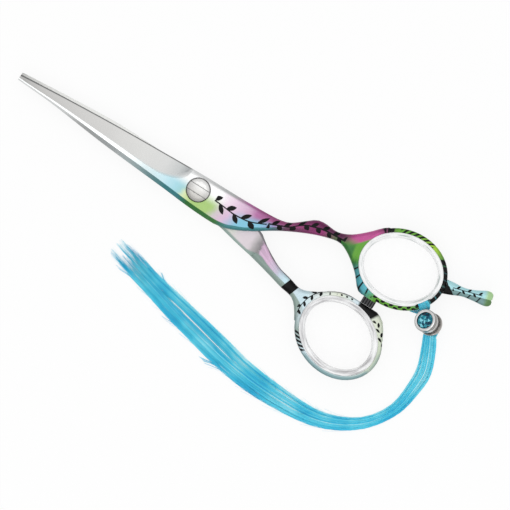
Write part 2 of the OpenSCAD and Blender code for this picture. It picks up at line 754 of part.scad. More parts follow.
// Finger rest with the stud that holds it in the finger ring
module finger_rest() {
  steps = 16;
  nick = 0.5;
  crease = -0.12;
  profile = [
    [1, 0.15], [0.92, -0.5], [0.55, -0.9], [0, -1], [-0.55, -0.9], [-0.92, -0.55], [-1, -0.1],
    [-0.9, 0.2], [crease, 1], [0.3, 1], [0.7, 0.92], [0.93, 0.6]
  ];
  rest_width = [
    [-0.2, rest_root_w + 0.3], [0, rest_root_w], [0.16, 0.86 * rest_root_w], [0.38, rest_waist_w],
    [0.62, mix(rest_waist_w, rest_end_w, 0.3)], [0.86, rest_end_w], [0.96, 0.92 * rest_end_w],
    [1, 0.66 * rest_end_w]
  ];
  sway = [[-0.2, 0.3], [0, 0.3], [0.3, 0.2], [0.6, 0.1], [1, 0.25]];
  rows = [
    for (i = [0 : steps])
      let (
        s = i / steps,
        u = i == 0 ? -0.05 : 1 - pow(1 - s, 1.5),
        w = through(rest_width, u) / 2,
        t = rest_t / 2 * mix(1, 0.62, ease(0.9, 1, u))
      )
      [for (p = profile) [u * rest_len, w * p.x + through(sway, u), t * p.y]]
  ];
  color("darkslategray") {
    one_skin()
      difference() {
        at_finger_ring() translate([ring_a + band_w, 0, 0]) rotate(rest_turn) skin(rows);
        at_finger_ring() ellipse_prism(band_w + seat_gap, 4 * shank_t);
        at_finger_ring()
          translate([ring_a + band_w, 0, 0])
            rotate(rest_turn)
              translate([rest_len, crease * rest_end_w / 2 + sway[4].y, 0])
                rotate(45) cube([nick, nick, 4 * shank_t], center = true);
      }
    stud_axis() translate([0, 0, -stud_len + 0.1]) cylinder(d = stud_d, h = stud_len + 2);
  }
}

module at_bead() {
  translate([bead_at.x, bead_at.y, bead_z]) rotate([0, -bead_lean, 0]) children();
}

// Turned body of the bead: rear flange, neck and collar
module charm_body() {
  r = bead_d / 2;
  collar = bezel_d / 2 - 0.2;
  color("darkgray")
    at_bead()
      rotate_extrude()
        polygon([
          [0, seat_gap], [r - 0.25, seat_gap], [r, 0.3], [r, 0.9], [r - 0.25, 1.15], [r - 0.7, 1.25],
          [r - 0.8, body_h - 1.1], [collar, body_h - 0.9], [collar, body_h - 0.15],
          [collar - 0.2, body_h], [0, body_h]
        ]);
}

// Bezel with a conical seat for the crystal
module charm_bezel() {
  r = bezel_d / 2;
  seat = crystal_d / 2 + seat_gap;
  color("darkgray")
    at_bead()
      translate([0, 0, body_h + seat_gap])
        rotate_extrude()
          polygon([
            [0, 0], [r - 0.15, 0], [r, 0.15], [r, 0.7], [r - 0.25, 0.8], [r - 0.25, 1.05], [r, 1.15],
            [r, bezel_h - 0.35], [r - 0.35, bezel_h], [seat + 0.1, bezel_h], [seat, bezel_h - 0.15],
            [seat, bezel_h - 0.5], [0.5, 0.55], [0, 0.55]
          ]);
}

// Round cut crystal
module charm_crystal() {
  cut = 12;
  r = crystal_d / 2 - seat_gap;
  girdle = bezel_h - 0.45;
  color("turquoise")
    at_bead()
      translate([0, 0, body_h + girdle]) {
        translate([0, 0, -girdle + 0.75]) cylinder(r1 = 0.35, r2 = r, h = girdle - 0.75, $fn = cut);
        cylinder(r = r, h = 0.15, $fn = cut);
        translate([0, 0, 0.15]) cylinder(r1 = r, r2 = 0.58 * r, h = 0.75, $fn = cut);
      }
}

// Flat sleeve behind the bead that grips the lock
module charm_crimp() {
  color("gray")
    at_bead()
      translate([0, 0, -crimp_h / 2])
        rotate(crimp_turn + 90)
          translate([0, crimp_len / 2, 0])
            difference() {
              bar(crimp_w, crimp_h, crimp_len);
              translate([0, 1, 0])
                bar(crimp_w - 2 * crimp_wall, crimp_h - 2 * crimp_wall, crimp_len + 2);
            }
}

// Loop of hair round the finger ring, gathered to the swing point
module hair_loop() {
  outside = band_w + loop_gap + loop_t;
  tip = neck_r + 0.2;
  eased = 0.3;
  side_view = [
    [-loop_inside, eased - loop_half], [eased - loop_inside, -loop_half], [tip, -loop_half],
    [tip, neck_t - loop_half], [outside, 0.7 * loop_half], [0.8 * outside, loop_half],
    [eased - loop_inside, loop_half], [-loop_inside, loop_half - eased]
  ];
  plan = [
    [-2 * loop_inside, -loop_w / 2], [band_w + 0.4, -loop_w / 2], [tip + 0.1, -0.55],
    [tip + 0.1, 0.55], [band_w + 0.4, loop_w / 2], [-2 * loop_inside, loop_w / 2]
  ];
  color("deepskyblue")
    difference() {
      translate([loop_at.x, loop_at.y, part_z])
        rotate(loop_dir)
          intersection() {
            rotate([90, 0, 0]) linear_extrude(2 * loop_w, center = true) polygon(side_view);
            linear_extrude(4 * shank_t, center = true) polygon(plan);
          }
      at_finger_ring() loop_passage();
    }
}

// Room for the steel band inside the hair loop
module loop_passage() {
  h = band_t / 2 + loop_gap;
  section = [[-lap - loop_gap, -h], [band_w + loop_gap, -h], [band_w + loop_gap, h], [-lap - loop_gap, h]];
  ellipse_sweep(section);
}

// Point on the route of the lock; u counts route points
function route_at(u) =
  let (
    n = len(lock_route),
    i = min(n - 2, floor(u)),
    t = u - i,
    a = lock_route[max(0, i - 1)],
    b = lock_route[i],
    c = lock_route[i + 1],
    d = lock_route[min(n - 1, i + 2)]
  )
  b + t / 2 * (c - a + t * (2 * a - 5 * b + 4 * c - d + t * (3 * b - a - 3 * c + d)));

// Width of the lock along its route
function lock_width(u) =
  let (
    neck_w = mix(1, root_share * lock_root_w, ease(0, 1.2, u)),
    below_bead = mix(neck_w, lock_w, ease(root_end, root_end + 1.5, u))
  )
  mix(mix(below_bead, lock_waist_w, ease(waist[0], waist[1], u)), lock_spread_w,
    ease(spreading[0], spreading[1], u));

// Frame across the lock: sideways and upward directions, rolled with the bead at its root
function lock_frame(u) =
  let (
    step = 0.02,
    d = route_at(min(route_end, u + step)) - route_at(max(0, u - step)),
    along = d / norm(d),
    flat_up = cross(along, cross([0, 0, 1], along)),
    up = flat_up / norm(flat_up),
    lean_up = bead_axis - along * (bead_axis * along),
    rolled = mix(lean_up / norm(lean_up), up, ease(root_end, root_end + 2, u) + 1 - ease(0, 0.9, u)),
    top = rolled / norm(rolled)
  )
  [cross(top, along), top];

// Columns across the lock: odd ones are crests of strands, even ones the grooves between them
function across(j) = 2 * j / columns - 1;
function strand_end(k) =
  route_end - 0.15 - 0.5 * pow(sin(k * 137), 2) - 0.35 * (1 - abs(across(2 * k + 1)));
function column_end(j) =
  let (k = floor(j / 2))
  j % 2 == 1
    ? strand_end(k)
    : mix(notch_start, min(strand_end(max(0, k - 1)), strand_end(min(strand_count - 1, k))), notch_share);

// One point on the lock; tip runs from 0 to 1 along the free ends, side is up or down
function lock_point(j, u, tip, side) =
  let (
    frame = lock_frame(u),
    place = across(j),
    open = ease(parting[0], parting[1], u) * (1 - ease(parting[2], parting[3], u)),
    parted = sign(j - strand_count - 1) * parting_w / 2 * open,
    groove = mix(0.8, groove_share, ease(root_end, root_end + 1, u)),
    rib = j % 2 == 1 ? 1 : groove,
    squeeze = mix(root_share, 1, ease(root_end, root_end + 1, u)),
    half = mix(lock_t / 2 * sqrt(1 - edge_share * place * place) * rib * squeeze, tip_half_t, tip)
  )
  route_at(u) + frame[0] * (place * lock_width(u) / 2 + parted) + frame[1] * side * half;

// One row round the lock: across its top and back along its underside
function lock_row(u, tip) = [
  for (side = [1, -1], j = [0 : columns])
    let (column = side > 0 ? j : columns - j)
      lock_point(column, mix(u, column_end(column), tip), tip, side)
];

// Lock of hair, ribbed by its strands and notched between their tips
module hair_tail() {
  body_rows = 36;
  tip_rows = 6;
  color("deepskyblue")
    skin(
      concat(
        [for (i = [0 : body_rows]) lock_row(notch_start * i / body_rows, 0)],
        [for (i = [1 : tip_rows]) lock_row(notch_start, i / tip_rows)]
      ),
      strip = true
    );
}

finger_blade();
thumb_blade();
pivot_screw();
slip_washer();
pivot_bush();
bearing_disc();
pivot_nut();
finger_ring_insert();
thumb_ring_insert();
stop_bumper();
finger_rest();
charm_body();
charm_bezel();
charm_crystal();
charm_crimp();
hair_loop();
hair_tail();
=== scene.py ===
"""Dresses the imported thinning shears: printed steel, clear inserts, turned bead, cut crystal and hair."""

import json
import random
from math import cos, dist, pi, radians, sin, sqrt

import bmesh
import bpy
from mathutils import Matrix, Vector


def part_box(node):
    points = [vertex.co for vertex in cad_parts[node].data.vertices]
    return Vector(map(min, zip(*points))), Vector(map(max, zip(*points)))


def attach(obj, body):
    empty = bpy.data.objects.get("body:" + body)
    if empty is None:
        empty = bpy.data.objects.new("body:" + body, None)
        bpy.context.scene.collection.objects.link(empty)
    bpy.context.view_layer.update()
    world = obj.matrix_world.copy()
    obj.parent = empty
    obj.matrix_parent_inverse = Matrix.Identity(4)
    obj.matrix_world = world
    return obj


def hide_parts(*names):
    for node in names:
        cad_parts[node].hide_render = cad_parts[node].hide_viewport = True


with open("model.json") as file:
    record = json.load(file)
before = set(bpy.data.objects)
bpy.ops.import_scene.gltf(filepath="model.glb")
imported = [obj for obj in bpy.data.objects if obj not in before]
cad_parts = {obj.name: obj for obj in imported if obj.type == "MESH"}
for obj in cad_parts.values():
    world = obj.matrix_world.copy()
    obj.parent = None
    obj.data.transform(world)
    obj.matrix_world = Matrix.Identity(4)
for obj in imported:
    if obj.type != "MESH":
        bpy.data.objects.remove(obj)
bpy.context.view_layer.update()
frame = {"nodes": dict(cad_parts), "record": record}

MM = 0.001
TAU = 2 * pi
nodes = frame["nodes"]
body_of = {n: body for body, members in frame["record"]["behaviour"]["bodies"].items() for n in members}


def ease(a, b, x):
    """Smooth step from 0 to 1 between a and b."""
    t = min(1.0, max(0.0, (x - a) / (b - a)))
    return t * t * (3 - 2 * t)


def mix(a, b, t):
    """From a to b, also for shader values."""
    return a + (b - a) * t


def corners_mm(node):
    """Lowest and highest corner of a CAD node in millimetres."""
    low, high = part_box(node)
    return low / MM, high / MM


def middle_mm(node):
    low, high = corners_mm(node)
    return (low + high) / 2


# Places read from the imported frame, in millimetres
screw_low, screw_high = corners_mm("pivot_screw")
FINGER_RING = middle_mm("finger_ring_insert")
THUMB_RING = middle_mm("thumb_ring_insert")

# Sizes and angles of the part, in millimetres and radians
FINGER_TILT = radians(10)
THUMB_TILT = radians(-15)
RING_A = 13.0
RING_B = 10.7
BAND_W = 1.25
FINGER_INSERT_W = 1.7
THUMB_INSERT_W = 1.95
REST_TURN = radians(6.5)
BEAD_LEAN = radians(28)
BODY_H = 3.8
BEZEL_H = 2.3
LOOP_DIR = radians(-35.55)
LOOP_ANGLE = radians(-40)
CRIMP_TURN = LOOP_DIR - radians(26)
HEAD_H = 1.15
SLOT_W = 2.2
SLOT_DEPTH = 0.6

# Pitch of the rubber's fine ribs, and how widely the inserts' streaks lap their ring in noise space
RIB_PITCH = 0.8
STREAK_LAP = 1.8

# The bead: sizes read from the frame, and its origin, BEAD_RAISE behind the middle of its rear face
BEAD_RAISE = 0.02
FLANGE_IN = 0.25
FLANGE_UP = 0.3
body_low, body_high = corners_mm("charm_body")
bezel_low, bezel_high = corners_mm("charm_bezel")
crystal_low, crystal_high = corners_mm("charm_crystal")
BODY_R = (body_high.y - body_low.y) / 2
BEZEL_R = (bezel_high.y - bezel_low.y) / 2
CRYSTAL_R = (crystal_high.y - crystal_low.y) / 2
BEAD_AT = Vector((
    body_high.x - BODY_R * cos(BEAD_LEAN) + FLANGE_UP * sin(BEAD_LEAN),
    (body_high.y + body_low.y) / 2,
    body_low.z + (BODY_R - FLANGE_IN) * sin(BEAD_LEAN) - BEAD_RAISE * cos(BEAD_LEAN)))


class Val:
    """A shader socket that takes part in plain arithmetic."""

    def __init__(self, graph, source):
        self.graph = graph
        self.source = source

    def __add__(self, other):
        return self.graph.math("ADD", self, other)

    def __sub__(self, other):
        return self.graph.math("SUBTRACT", self, other)

    def __rsub__(self, other):
        return self.graph.math("SUBTRACT", other, self)

    def __mul__(self, other):
        return self.graph.math("MULTIPLY", self, other)

    def __truediv__(self, other):
        return self.graph.math("DIVIDE", self, other)


class Graph:
    """Builds the shader nodes of one material or of the world."""

    def __init__(self, owner):
        owner.use_nodes = True
        self.owner = owner
        self.tree = owner.node_tree
        self.shader = next(n for n in self.tree.nodes if n.type in ("BSDF_PRINCIPLED", "BACKGROUND"))

    @classmethod
    def material(cls, name):
        return cls(bpy.data.materials.new(name))

    def put(self, socket, value):
        source = value.source if isinstance(value, Val) else value
        if isinstance(source, bpy.types.NodeSocket):
            self.tree.links.new(source, socket)
        elif socket.type == "RGBA":
            socket.default_value = (*source, 1.0)
        else:
            socket.default_value = source

    def node(self, kind, inputs=None, **settings):
        made = self.tree.nodes.new(kind)
        for key, value in settings.items():
            setattr(made, key, value)
        for key, value in (inputs or {}).items():
            self.put(made.inputs[key], value)
        return made

    def math(self, operation, *values):
        made = self.node("ShaderNodeMath", dict(enumerate(values)), operation=operation)
        return Val(self, made.outputs[0])

    def sin(self, value):
        return self.math("SINE", value)

    def floor(self, value):
        return self.math("FLOOR", value)

    def absolute(self, value):
        return self.math("ABSOLUTE", value)

    def most(self, a, b):
        return self.math("MAXIMUM", a, b)

    def hypot(self, a, b):
        return self.math("SQRT", a * a + b * b)

    def smooth(self, value, low, high):
        """0 below low, 1 above high, eased between; low may be the larger one."""
        inputs = {"Value": value, "From Min": low, "From Max": high}
        made = self.node("ShaderNodeMapRange", inputs, interpolation_type="SMOOTHSTEP")
        return Val(self, made.outputs[0])

    def below(self, value, limit, soft=0.04):
        """1 where value is under limit, with a soft edge."""
        return self.smooth(value, limit + soft, limit - soft)

    def between(self, value, low, high, soft):
        return self.smooth(value, low - soft, low + soft) * self.smooth(value, high + soft, high - soft)

    def place(self):
        """Object coordinates in millimetres."""
        coordinates = self.node("ShaderNodeTexCoord").outputs["Object"]
        inputs = {0: coordinates, "Scale": 1 / MM}
        self.vector = self.node("ShaderNodeVectorMath", inputs, operation="SCALE").outputs[0]
        apart = self.node("ShaderNodeSeparateXYZ", {0: self.vector})
        return [Val(self, output) for output in apart.outputs]

    def stretched(self, x, y, z):
        inputs = {0: self.vector, 1: (x, y, z)}
        return self.node("ShaderNodeVectorMath", inputs, operation="MULTIPLY").outputs[0]

    def noise(self, scale, vector=None, detail=2.0):
        inputs = {"Vector": vector or self.vector, "Scale": scale, "Detail": detail}
        return Val(self, self.node("ShaderNodeTexNoise", inputs).outputs[0])

    def wobble(self, scale, amount):
        """Noise about zero."""
        return (self.noise(scale) - 0.5) * amount

    def attribute(self, name):
        return Val(self, self.node("ShaderNodeAttribute", attribute_name=name).outputs["Fac"])

    def ramp(self, factor, stops):
        made = self.node("ShaderNodeValToRGB", {0: factor})
        ramp = made.color_ramp
        while len(ramp.elements) < len(stops):
            ramp.elements.new(1.0)
        for element, (position, colour) in zip(ramp.elements, stops):
            element.position = position
            element.color = (*colour, 1.0)
        return Val(self, made.outputs[0])

    def scale_ramp(self, value, low, high, stops):
        """Colour ramp whose stops are given in the units of value."""
        span = high - low
        return self.ramp((value - low) / span, [((at - low) / span, colour) for at, colour in stops])

    def mix(self, factor, a, b):
        made = self.node("ShaderNodeMix", data_type="RGBA")
        for index, value in ((0, factor), (6, a), (7, b)):
            self.put(made.inputs[index], value)
        return Val(self, made.outputs[2])

    def curve(self, value, points):
        """Smooth y(x) through a few points."""
        xs = [p[0] for p in points]
        ys = [p[1] for p in points]
        x0, x1, y0, y1 = min(xs), max(xs), min(ys), max(ys)
        made = self.node("ShaderNodeFloatCurve", {"Value": (value - x0) / (x1 - x0)})
        line = made.mapping.curves[0]
        for _ in points[2:]:
            line.points.new(0.5, 0.5)
        for spot, (x, y) in zip(line.points, points):
            spot.location = ((x - x0) / (x1 - x0), (y - y0) / (y1 - y0))
        made.mapping.update()
        return Val(self, made.outputs[0]) * (y1 - y0) + y0

    def bump(self, height, distance_mm, strength):
        inputs = {"Height": height, "Strength": strength, "Distance": distance_mm * MM}
        self.put(self.shader.inputs["Normal"], self.node("ShaderNodeBump", inputs).outputs[0])

    def set(self, **values):
        """Sets the shader's own sockets; underscores stand for spaces."""
        names = {"ior": "IOR", "coat": "Coat Weight", "specular": "Specular IOR Level"}
        for key, value in values.items():
            name = names.get(key, key.replace("_", " ").title())
            self.put(self.shader.inputs[name], value)


def rgb(r, g, b):
    """Linear colour from display values of 0 to 255."""
    return tuple(((c / 255 + 0.055) / 1.055) ** 2.4 if c > 10 else c / 255 / 12.92 for c in (r, g, b))


# Colours of the steel and of the print, and colours used for painted shade
STEEL = rgb(218, 217, 215)
DULL_STEEL = rgb(172, 172, 170)
BRIGHT_EDGE = rgb(214, 215, 215)
LAND = rgb(228, 230, 230)
SATIN = rgb(176, 178, 178)
EDGE_SHADOW_GREY = rgb(120, 121, 121)
INK = rgb(8, 8, 9)
PALE_BLUE = rgb(188, 219, 228)
SKY = rgb(122, 185, 209)
BLUE_LILAC = rgb(140, 145, 190)
TEAL = rgb(56, 126, 132)
LAGOON = rgb(84, 168, 182)
DEEP_TEAL = rgb(24, 62, 68)
PALE_GREEN = rgb(206, 218, 170)
FRESH_GREEN = rgb(160, 192, 114)
LEAF = rgb(88, 150, 40)
DEEP_GREEN = rgb(44, 110, 44)
LIME = rgb(150, 190, 50)
LILAC = rgb(208, 176, 203)
ORCHID = rgb(172, 104, 156)
MAGENTA = rgb(138, 52, 106)
ROSE = rgb(182, 72, 138)
PLUM = rgb(84, 34, 68)
PINK_GREY = rgb(209, 199, 205)
SHOULDER_SHADE = rgb(140, 136, 139)
SHADE = rgb(104, 102, 106)
MIST = rgb(196, 212, 220)
SAGE = rgb(134, 153, 146)
TEAL_GREY = rgb(104, 140, 144)
OLIVE_WHITE = rgb(210, 216, 198)
PALE_OLIVE = rgb(188, 199, 178)
COOL_GREY = rgb(172, 194, 197)
WHITE = rgb(244, 244, 244)

# Ground facet of the finger blade: pivot to its round end, and the length of that round
GRIND_END = 4.6
GRIND_ROUND = 13.0
BLADE_LEN = 62.8

# Flat under that facet: its width at the tip, then distances from the pivot and the width gained by there
FLAT_TIP = 0.7
FLAT_GAINS = [(0.4 * BLADE_LEN, 0.95), (13.0, 0.85)]

# Angles of the leaves on a branch and of single leaves
BRANCH_LEAN = radians(40)
LEAF_LEAN = radians(30)


def side_curves(g, x, node, stations):
    """Lower and upper edge of a half along X, from where planes across X cut its mesh."""
    mesh = nodes[node].data
    points = [v.co / MM for v in mesh.vertices]
    spans = [[points[i] for i in edge.vertices] for edge in mesh.edges]
    low = []
    high = []
    for at in stations:
        crossed = [(a, b) for a, b in spans if min(a.x, b.x) <= at < max(a.x, b.x)]
        cuts = [mix(a.y, b.y, (at - a.x) / (b.x - a.x)) for a, b in crossed]
        low.append((at, min(cuts)))
        high.append((at, max(cuts)))
    return g.curve(x, low), g.curve(x, high)


def ring_place(g, x, y, centre, tilt):
    """Angle round a ring as a share of a turn from its long axis, and the distance outside its insert."""
    dx = x - centre.x
    dy = y - centre.y
    along = (dx * cos(tilt) + dy * sin(tilt)) / RING_A
    aside = (dy * cos(tilt) - dx * sin(tilt)) / RING_B
    turn = g.math("ARCTAN2", aside, along) / TAU
    out = (g.hypot(along, aside) - 1.0) * ((RING_A + RING_B) / 2)
    return turn + g.below(turn, 0.0, 0.0005), out


def arc(g, turn, low, high):
    """1 on a stretch of a ring, given in shares of a turn."""
    return g.between(turn, low, high, 0.004)


def leaves(g, s, t, pitch, length, width, lean):
    """Lens-shaped leaves set in turn on both sides of a line."""
    cell = g.floor(s / pitch)
    side = 1.0 - g.math("FLOORED_MODULO", cell, 2.0) * 2.0
    ds = s - (cell + 0.5) * pitch
    dt = t * side - length * sin(lean)
    u = (ds * cos(lean) + dt * sin(lean)) / length
    v = dt * cos(lean) - ds * sin(lean)
    return g.below(g.absolute(v) - (1.0 - u * u) * width, 0.0, 0.05)


def branch(g, s, t, pitch, length, width, thick):
    """Straight stem with leaves on both sides."""
    stem = g.below(g.absolute(t), thick)
    return g.most(stem, leaves(g, s, t, pitch, length, width, BRANCH_LEAN))


def dots(g, s, t, pitch, radius, offset):
    ds = s - (g.floor(s / pitch) + 0.5) * pitch
    return g.below(g.hypot(ds, t - offset), radius)


def stripes(g, s, t, pitch, slant, share):
    step = (s + t * slant) / pitch
    return g.below(g.absolute(step - g.floor(step) - 0.5), share / 2, 0.06)


def brushed(g, level=0.5):
    """Fine grinding lines across the long axis."""
    lines = g.noise(1.0, g.stretched(5.0, 0.25, 0.5), 3.0)
    cloud = g.noise(0.12, detail=1.0)
    return lines * level + cloud * (1.0 - level)


def printed_metal(g, colour, ink, painted, lines):
    """Lacquered print over brushed steel."""
    shade = g.mix((lines - 0.3) * 0.25, colour, SATIN)
    g.set(base_color=g.mix(ink, shade, INK))
    g.set(metallic=(1.0 - painted * 0.78) * (1.0 - ink))
    g.set(roughness=mix(lines * 0.16 + 0.16, lines * 0.10 + 0.24, painted))
    g.set(coat=0.04, coat_roughness=0.1, specular=0.08)
    g.bump(lines, 0.01, 0.12)
    return g.owner


def finger_print():
    """Blade, shank and ring of the finger half: steel that turns into a bright print behind the pivot."""
    g = Graph.material("finger_print")
    x, y, _ = g.place()
    bottom, top = side_curves(g, x, "finger_blade", [
        -62, -57, -50, -42, -32, -22, -12, -6, 0, 5, 9, 15, 21, 28, 35, 41, 46])
    from_low = y - bottom
    from_top = top - y
    share = from_low / g.most(top - bottom, 1.0)
    drift = x + g.wobble(0.35, 2.4)

    face = g.scale_ramp(drift - share * 3.0, -66.0, 50.0, [
        (-62, rgb(188, 188, 186)), (-50, rgb(202, 203, 202)), (-34, LAND), (-24, LAND),
        (-16, rgb(206, 225, 229)), (-11, PALE_BLUE), (-7.6, rgb(160, 206, 217)), (-5.4, rgb(154, 200, 205)),
        (-3.8, PALE_GREEN), (0, FRESH_GREEN), (5, FRESH_GREEN), (7, rgb(196, 188, 190)), (10, LILAC),
        (14, SKY), (20, SKY), (23, BLUE_LILAC), (26, ORCHID), (29, MAGENTA), (42, PLUM), (47, LEAF)])
    upper = g.scale_ramp(drift, -30.0, 50.0, [
        (-8, LAND), (-2, WHITE), (6, WHITE), (11, rgb(222, 198, 216)), (15, LILAC), (19, ORCHID),
        (26, MAGENTA), (40, PLUM), (48, PLUM)])
    colour = g.mix(g.smooth(share, 0.36, 0.72), face, upper)
    # Strip along the upper edge behind the pivot: print colours, darker than the face beside them as
    # painted shade on the shank's upper bevel
    edge = g.scale_ramp(drift, -30.0, 50.0, [
        (-2, BRIGHT_EDGE), (10, SATIN), (15, ORCHID), (22, MAGENTA), (50, PLUM)])
    colour = g.mix(g.smooth(share, 0.89, 0.94) * g.smooth(x, -4.5, -3.5), colour, edge)
    chamfer = g.scale_ramp(drift, -45.0, 50.0, [
        (-40, rgb(212, 214, 214)), (-26, rgb(206, 212, 213)), (-20, rgb(164, 182, 184)),
        (-15, rgb(108, 144, 148)), (-9, TEAL), (-4, TEAL), (-1, DEEP_GREEN), (9, DEEP_GREEN), (13, TEAL),
        (23, TEAL), (28, PLUM), (38, MAGENTA), (44, DEEP_GREEN)])
    colour = g.mix(g.below(from_low, 1.3, 0.1), colour, chamfer)
    first, second = [g.smooth(x, -BLADE_LEN, -full) * gain for full, gain in FLAT_GAINS]
    ledge = first + second + FLAT_TIP
    in_end = g.most(x + (GRIND_END + GRIND_ROUND), 0.0) / GRIND_ROUND
    depth = g.hypot(in_end, from_top / g.most(top - bottom - ledge, 0.3))
    ground = g.below(depth, 0.97, 0.08)
    # Steel of the ground facet, darker towards its round end by the pivot as painted shade of the scooped
    # end
    ground_steel_and_shade = g.scale_ramp(x, -BLADE_LEN, 0.0, [
        (-60, rgb(214, 213, 211)), (-35, STEEL), (-20, rgb(228, 228, 226)), (-12, rgb(222, 223, 222)),
        (-8, rgb(206, 209, 209)), (-5, rgb(170, 174, 176))])
    colour = g.mix(ground, colour, ground_steel_and_shade)
    # Painted shadow: a thin dark grey line along the blade's cutting edge, ahead of the pivot
    colour = g.mix(g.below(from_top, 0.34, 0.1) * g.below(x, -5.0, 2.0), colour, EDGE_SHADOW_GREY)

    turn, out = ring_place(g, x, y, FINGER_RING, FINGER_TILT)
    ring_colour = g.ramp(turn + g.wobble(0.4, 0.03), [
        (0.0, DEEP_TEAL), (0.06, DEEP_TEAL), (0.11, DEEP_GREEN), (0.16, LIME), (0.24, LEAF), (0.31, LEAF),
        (0.345, PLUM), (0.39, ROSE), (0.46, ROSE), (0.50, LEAF), (0.545, DEEP_GREEN), (0.58, TEAL),
        (0.66, LAGOON), (0.70, LEAF), (0.84, LEAF), (0.90, TEAL), (1.0, DEEP_TEAL)])
    fork = g.smooth(y - (x - 46.3) * 1.16, 9.9, 8.9) * g.between(turn, 0.40, 0.53, 0.02)
    ring_colour = g.mix(fork, ring_colour, LEAF)
    outer = g.smooth(out, 1.5, 2.3) * g.between(turn, 0.48, 0.66, 0.02)
    ring_colour = g.mix(outer, ring_colour, g.mix(g.smooth(turn, 0.53, 0.58), DEEP_GREEN, DEEP_TEAL))
    colour = g.mix(g.smooth(x, 43.5, 47.5), colour, ring_colour)

    middle = y - (top + bottom) * 0.5
    waved = middle - g.sin(x * 0.26) * 0.7
    large = branch(g, x, waved, 2.5, 1.65, 0.72, 0.2) * g.between(x, 5.8, 22.6, 0.1)
    small = branch(g, x, middle, 1.7, 1.15, 0.62, 0.24) * g.between(x, 22.9, 45.0, 0.1)
    s = turn * (pi * (RING_A + RING_B))
    ring_stripes = stripes(g, s, out, 1.5, 0.9, 0.5) * arc(g, turn, 0.17, 0.30)
    ring_leaves = leaves(g, s, out - 0.62, 1.2, 0.8, 0.46, LEAF_LEAN) * arc(g, turn, 0.69, 0.87)
    wraps = arc(g, turn, 0.004, 0.115) + arc(g, turn, 0.915, 0.997) + arc(g, turn, 0.322, 0.362)
    cuffs = stripes(g, s, out, 2.2, 0.4, 0.84) * wraps
    side_stripes = stripes(g, s, out, 2.4, -0.5, 0.2) * arc(g, turn, 0.55, 0.672)
    on_ring = g.most(g.most(ring_stripes, ring_leaves), g.most(cuffs, side_stripes))
    ink = g.most(g.most(large, small), on_ring * g.smooth(x, 49.0, 50.0))
    painted = g.smooth(drift - share * 6.0, -32.0, -16.0) * (1.0 - ground)
    return printed_metal(g, colour, ink, painted, brushed(g))


